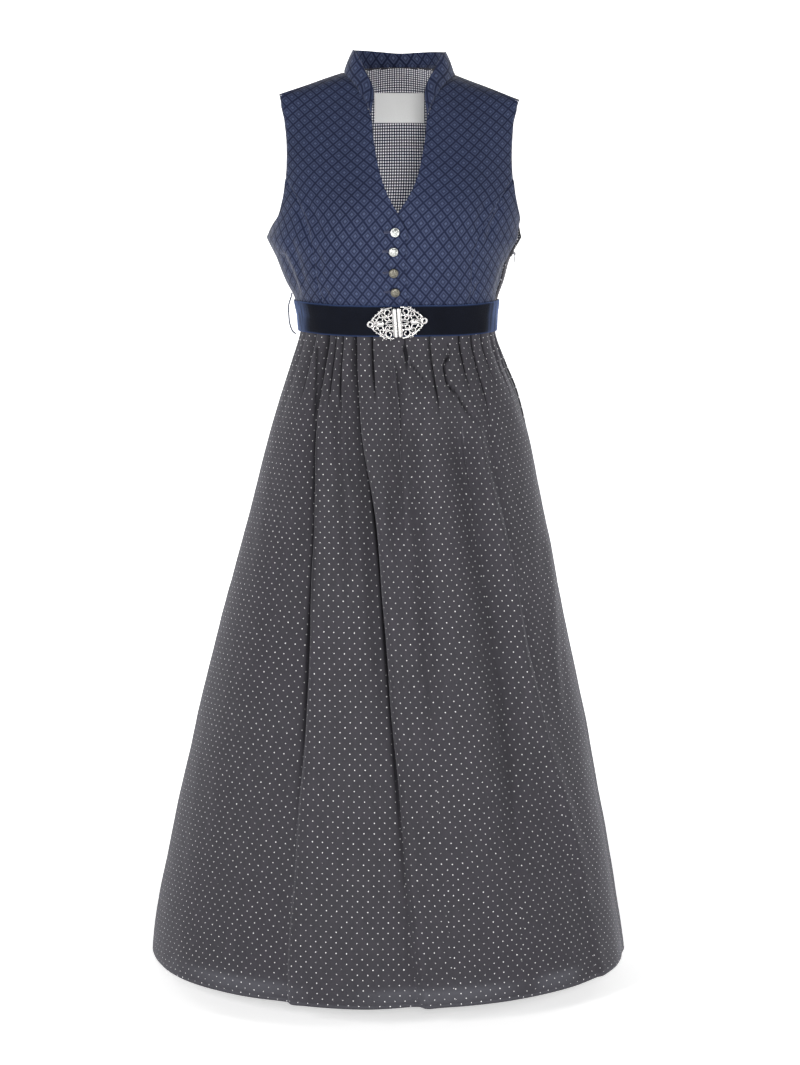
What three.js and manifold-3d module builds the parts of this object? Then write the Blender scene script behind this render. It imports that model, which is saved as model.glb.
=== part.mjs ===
// A long sleeveless dirndl, filled out as it is worn, with no wearer in it.
// Millimetres, +Z up. The front faces -Y and +X is to the right of someone looking at the front.
// The origin is midway between the shoulder seams, where the wearer's shoulders carry the dress.
import * as THREE from "three";
import { mergeVertices } from "three/addons/utils/BufferGeometryUtils.js";
import Module from "manifold-3d";

const wasm = await Module();
wasm.setup();

// Driving sizes
const COLLAR_TOP = 45;
const SHOULDER_RIDGE = 18;
const NECK_HALF_WIDTH = 76;
const SHOULDER_SLOPE = 0.37;
const SHOULDER_TILT = 0.022;
const RIDGE_SHIFT = 8;
const ARMPIT = -206;
const V_BOTTOM = -174;
const BELT_TOP = -292;
const BELT_BOTTOM = -334;
const WAIST = -325;
const HEM = -1215;
const SEAM_GAP = 0.36;
const BODICE_CLOTH = 2;
const LINING_CLOTH = 1;
const SKIRT_CLOTH = 1.6;
const COLLAR_CLOTH = 2.2;
const BELT_CLOTH = 1.8;
const LABEL_CLOTH = 1;
const PLACKET_LIFT = 2.5;
const PLACKET_OVERLAP = 16;
const PLACKET_UNDERLAP = 11;
const RIGHT_SEAM_ANGLE = 78;
const ZIP_TOP = -227;

const COLOURS = {
  jacquard: 0x2f3c63,
  charcoal: 0x4b4a50,
  gingham: 0x8a8f9a,
  velvet: 0x0d1a30,
  silver: 0xd8d6d2,
  pewter: 0x8c887c,
  satin: 0xeeeeea,
  zip: 0x3a3a40,
};

// Sections of the bodice. Level is the height of a section beside the neck, width and depths are half sizes.
const BODICE_SECTIONS = [
  { level: WAIST, width: 134, front: 98, back: 88, lean: -3 },
  { level: BELT_TOP, width: 139, front: 103, back: 90, lean: -5 },
  { level: -265, width: 150, front: 110, back: 93, lean: -7 },
  { level: -235, width: 160, front: 115, back: 96, lean: -9 },
  { level: ARMPIT, width: 171, front: 118, back: 99, lean: -8 },
  { level: -165, width: 173, front: 116, back: 101, lean: -3 },
  { level: -120, width: 172, front: 104, back: 100, lean: -1 },
  { level: -70, width: 170, front: 81, back: 90, lean: -1 },
  { level: -30, width: 168, front: 57, back: 70, lean: -1 },
  { level: -12, width: 167, front: 43, back: 54, lean: -1 },
  { level: 0, width: 167, front: 33, back: 42, lean: -1 },
  { level: 8, width: 166, front: 24, back: 31, lean: -1 },
  { level: 14, width: 166, front: 13, back: 17, lean: -1 },
  { level: SHOULDER_RIDGE, width: 166, front: 0, back: 0, lean: -1 },
];
const BUST = { x: 74, z: -188, forward: 9, spread: 36, height: 44 };

// Sections of the skirt, half sizes.
const SKIRT_SECTIONS = [
  { z: WAIST, width: 133, front: 97, back: 87, lean: -3 },
  { z: -338, width: 135, front: 100, back: 91, lean: -3 },
  { z: -377, width: 148, front: 114, back: 106, lean: -2 },
  { z: -421, width: 164, front: 131, back: 123, lean: 0 },
  { z: -488, width: 182, front: 150, back: 142, lean: -2 },
  { z: -578, width: 203, front: 171, back: 162, lean: -4 },
  { z: -714, width: 235, front: 200, back: 191, lean: -9 },
  { z: -851, width: 267, front: 228, back: 218, lean: -12 },
  { z: -1036, width: 306, front: 262, back: 251, lean: -15 },
  { z: -1150, width: 327, front: 281, back: 270, lean: -17 },
  { z: HEM, width: 336, front: 290, back: 279, lean: -16 },
];

// How the long folds wander as they fall. Each row is one fold: its angle at the waist, and at each drop below it.
const DROPS = [0, 110, 220, 330, 530, WAIST - HEM];
const FRONT_DRIFT = [
  [-90, -90, -90, -90, -90, -90],
  [-44, -42, -36, -32, -27, -26],
  [-25, -20.5, -12.4, -7, -1, 6],
  [4.4, 4.6, 6.2, 8, 12, 16],
  [29, 26, 28, 30, 35, 37],
  [49, 46, 45, 47, 51, 60],
  [90, 90, 90, 90, 90, 90],
];
const BACK_DRIFT = [
  [90, 90, 90, 90, 90, 90],
  [127, 128, 132, 136, 140, 143],
  [152, 154, 158, 160, 164, 166],
  [178, 180, 182, 184, 186, 188],
  [205, 203, 203, 204, 207, 208],
  [233, 231, 228, 227, 226, 224],
  [270, 270, 270, 270, 270, 270],
];

// Gathers sewn into the waist. Reach is how far down each one shows, lasting how much of it is left at the hem.
const FRONT_GATHERS = [
  { angle: -81, depth: 4, reach: 120, lasting: 0 },
  { angle: -70, depth: 5, reach: 150, lasting: 0 },
  { angle: -56, depth: 7, reach: 110, lasting: 0 },
  { angle: -44, depth: 9, reach: 560, lasting: 0.3 },
  { angle: -33.5, depth: 6, reach: 210, lasting: 0 },
  { angle: -25, depth: 9, reach: 640, lasting: 0.3 },
  { angle: -15, depth: 7, reach: 130, lasting: 0 },
  { angle: -5, depth: 4, reach: 90, lasting: 0 },
  { angle: 4.4, depth: 8, reach: 420, lasting: 0 },
  { angle: 12, depth: 4, reach: 90, lasting: 0 },
  { angle: 19.5, depth: 8, reach: 180, lasting: 0 },
  { angle: 29, depth: 9, reach: 520, lasting: 0.35 },
  { angle: 39, depth: 6, reach: 130, lasting: 0 },
  { angle: 49, depth: 7, reach: 420, lasting: 0.4 },
  { angle: 58, depth: 5, reach: 140, lasting: 0 },
  { angle: 70, depth: 5, reach: 170, lasting: 0 },
  { angle: 81, depth: 4, reach: 120, lasting: 0 },
];
const BACK_GATHERS = [
  { angle: 97, depth: 4, reach: 110, lasting: 0 },
  { angle: 107, depth: 6, reach: 160, lasting: 0 },
  { angle: 117, depth: 5, reach: 120, lasting: 0 },
  { angle: 127, depth: 9, reach: 480, lasting: 0.3 },
  { angle: 135, depth: 5, reach: 130, lasting: 0 },
  { angle: 144, depth: 7, reach: 190, lasting: 0 },
  { angle: 152, depth: 8, reach: 600, lasting: 0.3 },
  { angle: 161, depth: 5, reach: 110, lasting: 0 },
  { angle: 170, depth: 6, reach: 170, lasting: 0 },
  { angle: 178, depth: 9, reach: 520, lasting: 0.35 },
  { angle: 187, depth: 5, reach: 120, lasting: 0 },
  { angle: 196, depth: 7, reach: 200, lasting: 0 },
  { angle: 205, depth: 8, reach: 560, lasting: 0.3 },
  { angle: 214, depth: 5, reach: 130, lasting: 0 },
  { angle: 223, depth: 6, reach: 160, lasting: 0 },
  { angle: 233, depth: 9, reach: 440, lasting: 0.35 },
  { angle: 244, depth: 5, reach: 130, lasting: 0 },
  { angle: 254, depth: 5, reach: 150, lasting: 0 },
  { angle: 263, depth: 4, reach: 110, lasting: 0 },
];
// A gather's soft side and steep side, at the waist and growing with each millimetre below it.
const SOFT_SIDE = { waist: 5, growth: 0.072, most: 42 };
const STEEP_SIDE = { waist: 2.6, growth: 0.02, most: 13 };
const LONG_FOLD_EXTRA = 8;
const HEM_WAVES = [
  { count: 5, size: 3, phase: 0.6 },
  { count: 9, size: 2.2, phase: 2.1 },
];

const rad = THREE.MathUtils.degToRad;
const deg = THREE.MathUtils.radToDeg;
const clamp = THREE.MathUtils.clamp;
const lerp = THREE.MathUtils.lerp;
const smooth = (t, low = 0, high = 1) => THREE.MathUtils.smoothstep(t, low, high);

// A smooth curve through a table's rows that doesn't overshoot them, as a function of the key column.
function through(keys, values) {
  const n = keys.length;
  const slope = keys.slice(1).map((k, i) => (values[i + 1] - values[i]) / (k - keys[i]));
  const tangent = keys.map((_, i) => {
    if (i === 0) return slope[0];
    if (i === n - 1) return slope[n - 2];
    if (slope[i - 1] * slope[i] <= 0) return 0;
    return (2 * slope[i - 1] * slope[i]) / (slope[i - 1] + slope[i]);
  });
  const rising = keys[n - 1] > keys[0];
  return (at) => {
    let i = 0;
    while (i < n - 2 && (rising ? at > keys[i + 1] : at < keys[i + 1])) i++;
    const step = keys[i + 1] - keys[i];
    const t = clamp((at - keys[i]) / step, 0, 1);
    const t2 = t * t;
    const t3 = t2 * t;
    return (
      (2 * t3 - 3 * t2 + 1) * values[i] +
      (t3 - 2 * t2 + t) * step * tangent[i] +
      (3 * t2 - 2 * t3) * values[i + 1] +
      (t3 - t2) * step * tangent[i + 1]
    );
  };
}
const column = (rows, key, name) => through(rows.map((r) => r[key]), rows.map((r) => r[name]));

const bodice = {};
const skirt = {};
for (const name of ["width", "front", "back", "lean"]) {
  bodice[name] = column(BODICE_SECTIONS, "level", name);
  skirt[name] = column(SKIRT_SECTIONS, "z", name);
}

// The bodice's outer surface. Angle 0 is the centre front, 90 the right side, 180 the centre back.
const shoulderBlend = (level) => smooth(level, ARMPIT, -10);
function shoulderRise(x) {
  const neckRise = 14 * smooth(1 - Math.abs(x) / NECK_HALF_WIDTH);
  return SHOULDER_SLOPE * (NECK_HALF_WIDTH - Math.hypot(x, 30)) + neckRise - SHOULDER_TILT * x;
}
function bodicePoint({ angle, level }, lift = 0) {
  const a = rad(angle);
  const x = bodice.width(level) * Math.sin(a);
  const z = level + shoulderRise(x) * shoulderBlend(level);
  const depth = Math.cos(a) > 0 ? bodice.front(level) : bodice.back(level);
  let y = RIDGE_SHIFT * smooth(level, -250, 0) - depth * Math.cos(a);
  if (Math.cos(a) > 0) {
    const across = (Math.abs(x) - BUST.x) / BUST.spread;
    const up = (z - BUST.z) / BUST.height;
    y -= BUST.forward * Math.exp(-(across * across + up * up) / 2) * Math.sqrt(Math.cos(a));
    y -= lift;
  }
  return new THREE.Vector3(x + bodice.lean(level), y, z);
}
// The angle and level of the surface point that has this x, measured from the dress's own centre, and this height.
function bodiceSpot(x, z, isBack = false) {
  let low = WAIST;
  let high = SHOULDER_RIDGE;
  for (let i = 0; i < 40; i++) {
    const level = (low + high) / 2;
    if (level + shoulderRise(x) * shoulderBlend(level) < z) low = level;
    else high = level;
  }
  const level = (low + high) / 2;
  const angle = deg(Math.asin(clamp(x / bodice.width(level), -1, 1)));
  return { angle: isBack ? 180 - angle : angle, level };
}

// How far a gather reaches into the skirt at a distance from its line, and where that line runs.
function driftAngle(table, waistAngle, drop) {
  let i = 0;
  while (i < table.length - 2 && waistAngle > table[i + 1][0]) i++;
  const t = (waistAngle - table[i][0]) / (table[i + 1][0] - table[i][0]);
  return lerp(through(DROPS, table[i])(drop), through(DROPS, table[i + 1])(drop), t);
}
function gatherDepth(gather, drop) {
  const start = lerp(0.35, 1, smooth(drop, 0, 34));
  const left = 1 - smooth(drop, gather.reach * 0.25, gather.reach);
  const longer = gather.lasting ? LONG_FOLD_EXTRA * smooth(drop, 30, 220) : 0;
  return (gather.depth + longer) * start * Math.max(left, gather.lasting);
}
function gathersAt(gathers, table, angle, drop, arcSpeed) {
  const wide = Math.min(SOFT_SIDE.most, SOFT_SIDE.waist + SOFT_SIDE.growth * drop);
  const tight = Math.min(STEEP_SIDE.most, STEEP_SIDE.waist + STEEP_SIDE.growth * drop);
  let sum = 0;
  for (const gather of gathers) {
    const away = rad(angle - driftAngle(table, gather.angle, drop)) * arcSpeed;
    const share = away / (away < 0 ? wide : tight);
    sum += gatherDepth(gather, drop) * Math.exp(-share * share);
  }
  return sum;
}
// The skirt's outer surface, from a line's angle at the waist and its drop below it.
function skirtPoint({ angle: waistAngle, drop }, isBack) {
  const table = isBack ? BACK_DRIFT : FRONT_DRIFT;
  const z = WAIST - drop;
  const angle = driftAngle(table, waistAngle, drop);
  const a = rad(angle);
  const width = skirt.width(z);
  const depth = isBack ? skirt.back(z) : skirt.front(z);
  const arcSpeed = Math.hypot(width * Math.cos(a), depth * Math.sin(a));
  let inward = gathersAt(isBack ? BACK_GATHERS : FRONT_GATHERS, table, angle, drop, arcSpeed);
  for (const wave of HEM_WAVES) {
    inward += wave.size * (1 - Math.cos(wave.count * a + wave.phase)) * smooth(drop, 150, WAIST - HEM) / 2;
  }
  inward *= smooth(Math.abs(Math.cos(a)), 0, 0.12);
  const out = new THREE.Vector2(Math.sin(a) / width, -Math.cos(a) / depth).normalize();
  return new THREE.Vector3(
    width * Math.sin(a) + skirt.lean(z) - inward * out.x,
    -depth * Math.cos(a) - inward * out.y,
    z,
  );
}

// A cloth wall: a grid of outer points, and the same grid moved inwards, closed round its edges.
function wall(outer, inner) {
  const rows = outer.length;
  const columns = outer[0].length;
  const points = [...outer.flat(), ...inner.flat()];
  const at = (side, j, i) => side * rows * columns + j * columns + i;
  const faces = [];
  const quad = (a, b, c, d) => {
    const other = points[b].distanceTo(points[d]) < points[a].distanceTo(points[c]) - 1e-6;
    if (other) faces.push(a, b, d, b, c, d);
    else faces.push(a, b, c, a, c, d);
  };
  for (let j = 0; j < rows - 1; j++) {
    for (let i = 0; i < columns - 1; i++) {
      const [a, b, c, d] = [at(0, j, i), at(0, j, i + 1), at(0, j + 1, i + 1), at(0, j + 1, i)];
      const behind = rows * columns;
      const start = faces.length;
      quad(a, b, c, d);
      // The inner face is split along the same diagonals, turned round.
      for (let k = start; k < start + 6; k += 3) {
        faces.push(faces[k] + behind, faces[k + 2] + behind, faces[k + 1] + behind);
      }
    }
  }
  for (let i = 0; i < columns - 1; i++) {
    quad(at(0, 0, i), at(1, 0, i), at(1, 0, i + 1), at(0, 0, i + 1));
    quad(at(0, rows - 1, i), at(0, rows - 1, i + 1), at(1, rows - 1, i + 1), at(1, rows - 1, i));
  }
  for (let j = 0; j < rows - 1; j++) {
    quad(at(0, j, 0), at(0, j + 1, 0), at(1, j + 1, 0), at(1, j, 0));
    quad(at(0, j, columns - 1), at(1, j, columns - 1), at(1, j + 1, columns - 1), at(0, j + 1, columns - 1));
  }
  const geometry = new THREE.BufferGeometry();
  geometry.setAttribute("position", new THREE.Float32BufferAttribute(points.flatMap((p) => p.toArray()), 3));
  geometry.setIndex(faces);
  return geometry;
}

// Each end of a grid line moves in by half a seam gap, so that neighbours stay apart.
function drawIn(line, surface, mix) {
  const last = line.length - 1;
  const short = (a, b) => mix(a, b, SEAM_GAP / 2 / Math.max(surface(a).distanceTo(surface(b)), 0.01));
  const start = short(line[0], line[1]);
  const end = short(line[last], line[last - 1]);
  return [start, ...line.slice(1, last), end];
}
function outwardNormal(surface, spot, keys) {
  const step = 0.05;
  const nudged = (key, by) => surface({ ...spot, [key]: spot[key] + by });
  const across = nudged(keys[0], step).sub(nudged(keys[0], -step));
  const up = nudged(keys[1], step).sub(nudged(keys[1], -step));
  return across.cross(up).normalize();
}
// The points of a panel's face that lies a depth inside the surface, from a grid of spots on it.
function facePoints(spots, surface, depth, { keys = ["angle", "level"], flip = 1, ridged = false } = {}) {
  const mix = (a, b, t) => ({
    [keys[0]]: lerp(a[keys[0]], b[keys[0]], t),
    [keys[1]]: lerp(a[keys[1]], b[keys[1]], t),
  });
  const across = spots.map((row) => drawIn(row, surface, mix));
  const columns = across[0].map((_, i) => drawIn(across.map((row) => row[i]), surface, mix));
  return across.map((row, j) =>
    row.map((_, i) => {
      const spot = columns[i][j];
      const normal = outwardNormal(surface, spot, keys).multiplyScalar(flip);
      // At the shoulder seam the cloth's thickness is square to the ridge.
      if (ridged && j === spots.length - 1) normal.setY(0).normalize();
      return surface(spot).addScaledVector(normal, -depth);
    }),
  );
}
function panel(spots, surface, cloth, options) {
  return wall(facePoints(spots, surface, 0, options), facePoints(spots, surface, cloth, options));
}

// An edge of a pattern piece, made of joined lines, each with its number of grid rows.
function edge(...lines) {
  const spots = [];
  for (const { rows, through: stops } of lines) {
    const curve = new THREE.CatmullRomCurve3(
      stops.map((s) => new THREE.Vector3(s.angle, s.level, 0)),
      false,
      "centripetal",
    );
    for (let j = spots.length ? 1 : 0; j <= rows; j++) {
      const p = curve.getPointAt(j / rows);
      spots.push({ angle: p.x, level: p.y });
    }
  }
  return spots;
}
function between(left, right, columns) {
  return left.map((a, j) =>
    Array.from({ length: columns + 1 }, (_, i) => ({
      angle: lerp(a.angle, right[j].angle, i / columns),
      level: lerp(a.level, right[j].level, i / columns),
    })),
  );
}
const spotsOf = (rows, side = 1, isBack = false) => rows.map(([x, z]) => bodiceSpot(side * x, z, isBack));

// Lines of the bodice pattern as x from the centre and z, each from its lower end.
const RIDGE = Infinity;
// RIDGE stands for the height of the shoulder seam at that x.
const V_EDGE = [[0, V_BOTTOM], [19.9, -132], [34.5, -71], [36.6, -45]];
const COLLAR_SEAM = [[36.6, -45], [45, -24], [58, -3], [NECK_HALF_WIDTH, RIDGE]];
const PRINCESS = [[96, WAIST], [101, -284], [113, -205], [137, -152], [155, -124]];
const ARMHOLE_ABOVE = [[155, -124], [154, -100], [154.5, -72], [157.5, -46], [164, RIDGE]];
const ARMHOLE_BELOW = [[171, ARMPIT], [163.5, -180], [158, -155], [155, -124]];
const ARMHOLE_BELOW_RIGHT = [[168, -181], [163, -165], [158, -147], [155, -124]];
const ARMHOLE_BACK = [[171, ARMPIT], [159, -170], [153, -125], [153, -78], [157, -44], [164, RIDGE]];
const BACK_NECK = [[NECK_HALF_WIDTH, 16.5], [62, 16.5], [36, 18], [0, 19]];
const waistSpot = (angle) => ({ angle, level: WAIST });

// The front between the neckline and the princess seam. Its edge laps over or under at the centre.
function centreFront(side, lap, lift) {
  const edgeSpots = spotsOf([[-lap, WAIST], [-lap, V_BOTTOM - 1.1 * lap]], side);
  const inner = edge(
    { rows: 7, through: edgeSpots },
    { rows: 4, through: [edgeSpots[1], ...spotsOf(V_EDGE.slice(1), side)] },
    { rows: 4, through: spotsOf(COLLAR_SEAM, side) },
  );
  const outer = edge(
    { rows: 9, through: spotsOf(PRINCESS, side) },
    { rows: 6, through: spotsOf(ARMHOLE_ABOVE, side) },
  );
  const surface = (spot) => {
    const fromCentre = Math.abs(spot.angle);
    const lapped = side * spot.angle < 0 ? 1 : 1 - smooth(fromCentre, 7, 26);
    return bodicePoint(spot, lift * lapped * (1 - smooth(spot.level, V_BOTTOM - 20, -90)));
  };
  const grid = side > 0 ? between(inner, outer, 7) : between(outer, inner, 7);
  return panel(grid, surface, BODICE_CLOTH, { ridged: true });
}
// The front between the princess seam and the side seam.
function sideFront(side, seamAngle, armhole) {
  const rim = spotsOf(armhole, side);
  const foot = waistSpot(side * seamAngle);
  const outer = edge(
    { rows: 5, through: [foot, { angle: foot.angle, level: -260 }, rim[0]] },
    { rows: 4, through: rim },
  );
  const princess = edge({ rows: 9, through: spotsOf(PRINCESS, side) });
  // The point where the armhole meets the princess seam is a little blunt.
  const blunt = (line) => {
    const [a, b] = line.slice(-2);
    return { angle: lerp(a.angle, b.angle, 0.93), level: lerp(a.level, b.level, 0.93) };
  };
  outer[9] = blunt(outer);
  princess[9] = blunt(princess);
  const grid = side > 0 ? between(princess, outer, 5) : between(outer, princess, 5);
  return panel(grid, bodicePoint, BODICE_CLOTH);
}
// The whole back in one piece, shaped by its darts. On the right it reaches forward to the zip.
const BACK_COLUMNS = 18;
const BACK_NECK_COLUMNS = 6;
const SHOULDER_TIP = 164;
const ridgeSpot = (side, x) => ({
  angle: 180 - side * deg(Math.asin(x / bodice.width(SHOULDER_RIDGE))),
  level: SHOULDER_RIDGE,
});
function backEdges() {
  const zipTop = { angle: RIGHT_SEAM_ANGLE, level: ZIP_TOP - 4 };
  const rightTop = { angle: 89, level: ARMPIT };
  const right = edge(
    { rows: 3, through: [waistSpot(RIGHT_SEAM_ANGLE), zipTop] },
    { rows: 2, through: [zipTop, rightTop] },
    { rows: 7, through: [rightTop, ...spotsOf(ARMHOLE_BACK.slice(1, -1), 1, true), ridgeSpot(1, SHOULDER_TIP)] },
  );
  const left = edge(
    { rows: 5, through: [waistSpot(270), ...spotsOf([ARMHOLE_BACK[0]], -1, true)] },
    { rows: 7, through: [...spotsOf(ARMHOLE_BACK.slice(0, -1), -1, true), ridgeSpot(-1, SHOULDER_TIP)] },
  );
  return { right, left };
}
// Along the top: the right shoulder, the neck and the left shoulder.
function backTop() {
  const shoulder = (BACK_COLUMNS - BACK_NECK_COLUMNS) / 2;
  const neckStops = BACK_NECK.map(([x, z]) => new THREE.Vector3(x, z, 0));
  const neck = new THREE.CatmullRomCurve3(neckStops, false, "centripetal");
  return Array.from({ length: BACK_COLUMNS + 1 }, (_, i) => {
    const side = i <= BACK_COLUMNS / 2 ? 1 : -1;
    const k = side > 0 ? i : BACK_COLUMNS - i;
    if (k < shoulder) return ridgeSpot(side, lerp(SHOULDER_TIP, NECK_HALF_WIDTH, k / shoulder));
    const p = neck.getPoint((k - shoulder) / (BACK_NECK_COLUMNS / 2));
    return bodiceSpot(side * p.x, p.y, true);
  });
}
// The back's grid runs round the back in each row, and bends up to its top line.
function backSpots() {
  const { right, left } = backEdges();
  const top = backTop();
  const straight = between(right, left, BACK_COLUMNS);
  const straightTop = straight.at(-1);
  return straight.map((row, j) => {
    const bend = smooth(j / (straight.length - 1), 0.4, 1);
    return row.map((spot, i) => ({
      angle: spot.angle + bend * (top[i].angle - straightTop[i].angle),
      level: spot.level + bend * (top[i].level - straightTop[i].level),
    }));
  });
}
const backPanel = () => panel(backSpots(), bodicePoint, BODICE_CLOTH, { ridged: true });

// The checked lining inside the back, which shows through the neckline. It is made from the back's points.
const LINING_DEPTH = BODICE_CLOTH + SEAM_GAP;
const liningFace = (depth) => facePoints(backSpots(), bodicePoint, LINING_DEPTH + depth, { ridged: true });
const backLining = () => wall(liningFace(0), liningFace(LINING_CLOTH));

// The point of a faceted face that has this x and z.
function onFacets(face, x, z) {
  const flat = (p) => new THREE.Vector3(p.x, 0, p.z);
  const at = new THREE.Vector3(x, 0, z);
  const share = new THREE.Vector3();
  for (let j = 0; j < face.length - 1; j++) {
    for (let i = 0; i < face[0].length - 1; i++) {
      const [a, b, c, d] = [face[j][i], face[j][i + 1], face[j + 1][i + 1], face[j + 1][i]];
      for (const [p, q, r] of [[a, b, c], [a, c, d]]) {
        THREE.Triangle.getBarycoord(at, flat(p), flat(q), flat(r), share);
        if (Math.min(share.x, share.y, share.z) < -1e-6) continue;
        return p.clone().multiplyScalar(share.x).addScaledVector(q, share.y).addScaledVector(r, share.z);
      }
    }
  }
  throw new Error("no facet at " + x + ", " + z);
}
// A blank woven label sewn to the lining below the back of the neck.
const LABEL = { half: 35, top: -10, bottom: -52, columns: 8, rows: 3 };
function label() {
  const inside = liningFace(LINING_CLOTH);
  const face = (depth) =>
    Array.from({ length: LABEL.rows + 1 }, (_, j) =>
      Array.from({ length: LABEL.columns + 1 }, (_, i) => {
        const x = lerp(LABEL.half, -LABEL.half, i / LABEL.columns);
        const z = lerp(LABEL.bottom, LABEL.top, j / LABEL.rows);
        const p = onFacets(inside, x + bodice.lean(z), z);
        return p.setY(p.y - depth);
      }),
    );
  return wall(face(2 * SEAM_GAP), face(2 * SEAM_GAP + LABEL_CLOTH));
}

// The stand collar: a band from one side of the neckline round the back of the neck to the other.
const COLLAR_FREE_EDGE = [
  [37.6, -67, -43],
  [35.6, -47, -2],
  [47, -29, 21],
  [60.5, -7, 44],
  [63, 12, COLLAR_TOP],
  [50, 38, COLLAR_TOP - 1],
  [24, 53, COLLAR_TOP - 2],
  [0, 56, COLLAR_TOP - 4],
];
function collar() {
  const seamRows = [
    ...COLLAR_SEAM.map(([x, z]) => ({ x, z, isBack: false })),
    ...BACK_NECK.slice(1).map(([x, z]) => ({ x, z, isBack: true })),
  ];
  const seamPoint = (side) => ({ x, z, isBack }) => {
    const p = bodicePoint(bodiceSpot(side * x, z, isBack));
    return p.setZ(p.z + SEAM_GAP * 1.6).setX(p.x - side * 0.3);
  };
  const freePoint = (side) => ([x, y, z]) => new THREE.Vector3(side * x + bodice.lean(0), y, z);
  const loop = (rows, make) => [...rows.map(make(-1)), ...rows.slice(0, -1).map(make(1)).reverse()];
  const seam = new THREE.CatmullRomCurve3(loop(seamRows, seamPoint), false, "centripetal");
  const free = new THREE.CatmullRomCurve3(loop(COLLAR_FREE_EDGE, freePoint), false, "centripetal");
  const columns = 44;
  const rows = 3;
  // The two edges are matched at the front tips, the collar's corners and the centre back.
  const seamKeys = through([0, 0.28, 0.5, 0.72, 1], [0.012, 0.33, 0.5, 0.67, 0.988]);
  const freeKeys = through([0, 0.28, 0.5, 0.72, 1], [0, 0.36, 0.5, 0.64, 1]);
  const surface = ({ along, up }) => {
    const a = seam.getPointAt(clamp(seamKeys(along), 0, 1));
    const b = free.getPointAt(clamp(freeKeys(along), 0, 1));
    return a.lerp(b, up);
  };
  const spots = Array.from({ length: rows + 1 }, (_, j) =>
    Array.from({ length: columns + 1 }, (_, i) => ({ along: i / columns, up: j / rows })),
  );
  const outer = spots.map((row) => row.map(surface));
  const inner = spots.map((row) =>
    row.map((spot) => {
      const inside = {
        along: clamp(spot.along, 0.002, 0.998),
        up: clamp(spot.up, 0.002, 0.998),
      };
      const step = 0.001;
      const across = surface({ ...inside, along: inside.along + step }).sub(
        surface({ ...inside, along: inside.along - step }),
      );
      const up = surface({ ...inside, up: inside.up + step }).sub(surface({ ...inside, up: inside.up - step }));
      // Columns run clockwise from above, so this cross product already points out of the neck.
      return surface(spot).addScaledVector(up.cross(across).normalize(), -COLLAR_CLOTH);
    }),
  );
  return wall(outer.map((r) => [...r].reverse()), inner.map((r) => [...r].reverse()));
}

// A half of the skirt, with a column of points on each gather's line.
const SKIRT_DROPS = [0, 9, 24, 46, 78, 122, 185, 270, 380, 500, 630, 765, WAIST - HEM];
const SKIRT_SHARES = [0, 0.24, 0.72];
function skirtPanel(isBack) {
  const gathers = isBack ? BACK_GATHERS : FRONT_GATHERS;
  const start = isBack ? 90 : -90;
  const stops = [start, ...gathers.map((g) => g.angle), start + 180];
  const angles = stops
    .slice(0, -1)
    .flatMap((a, i) => SKIRT_SHARES.map((share) => lerp(a, stops[i + 1], share)));
  angles.push(start + 180);
  const spots = SKIRT_DROPS.map((drop) => angles.map((angle) => ({ angle, drop }))).reverse();
  const surface = (spot) => {
    const point = skirtPoint(spot, isBack);
    return spot.drop < SEAM_GAP ? point.setZ(WAIST - SEAM_GAP) : point;
  };
  return panel(spots, surface, SKIRT_CLOTH, { keys: ["angle", "drop"], flip: -1 });
}

// The ribbon belt lies round the waist over the bodice and the top of the skirt. Its ends meet behind the buckle.
const BELT_CLEAR = 1.3;
const BELT_MIDDLE = (BELT_TOP + BELT_BOTTOM) / 2;
const BELT_LEVELS = [BELT_BOTTOM, BELT_MIDDLE, BELT_TOP];
function beltSection(level, angle, out) {
  const a = rad(angle);
  const under = level > WAIST ? bodice : skirt;
  const width = under.width(level) + BELT_CLEAR + out;
  const forward = PLACKET_LIFT * (1 - smooth(Math.abs(Math.sin(a)), 0.05, 0.5));
  const depth = Math.cos(a) > 0 ? under.front(level) + forward : under.back(level);
  return new THREE.Vector3(
    width * Math.sin(a) + under.lean(level),
    -(depth + BELT_CLEAR + out) * Math.cos(a),
    level,
  );
}
// The ribbon is straight between its lower edge, middle and upper edge.
function beltPoint({ angle, level }, out) {
  const i = level < BELT_MIDDLE ? 0 : 1;
  const t = clamp((level - BELT_LEVELS[i]) / (BELT_LEVELS[i + 1] - BELT_LEVELS[i]), 0, 1);
  return beltSection(BELT_LEVELS[i], angle, out).lerp(beltSection(BELT_LEVELS[i + 1], angle, out), t);
}
function belt() {
  const columns = 60;
  const angles = Array.from({ length: columns + 1 }, (_, i) => lerp(0.7, 359.3, i / columns));
  const face = (out) => BELT_LEVELS.map((level) => angles.map((angle) => beltSection(level, angle, out)));
  return wall(face(BELT_CLOTH), face(0));
}

// The buckle: two open-work halves of scrolls round a boss, meeting at a pair of upright bars.
const BUCKLE_PLATE = 1.6;
const BUCKLE_TILT = rad(2.2);
const SCROLLS = [
  { x: 11, y: 14.6, radius: 6, from: -150, turns: 470, shrink: 0.55, line: 1.7 },
  { x: 12.6, y: 5.2, radius: 4.4, from: 60, turns: -430, shrink: 0.5, line: 1.6 },
  { x: 22, y: 10.2, radius: 4.6, from: 200, turns: -400, shrink: 0.5, line: 1.6 },
  { x: 31.4, y: 6, radius: 3.6, from: 120, turns: -330, shrink: 0.55, line: 1.6 },
];
const BARS = { low: 0.5, high: 4.6, half: 21.5 };
const BOSS = { x: 24.6, long: 4.8, tall: 3.4, proud: 2.2 };
const EYE = { x: 36.4, outer: 4.6, hole: 1.7 };
const RIM = [[4, 21], [10, 21.6], [17.5, 17.6], [24, 13.6], [30.5, 9.6], [35.4, 4.2]];
const VINE = [[4, 9.6], [9, 9.9], [16, 9.4], [19, 6], [20, 2.2]];
const STEM = [[4, 0], [12, 0], [20, 0]];

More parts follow.
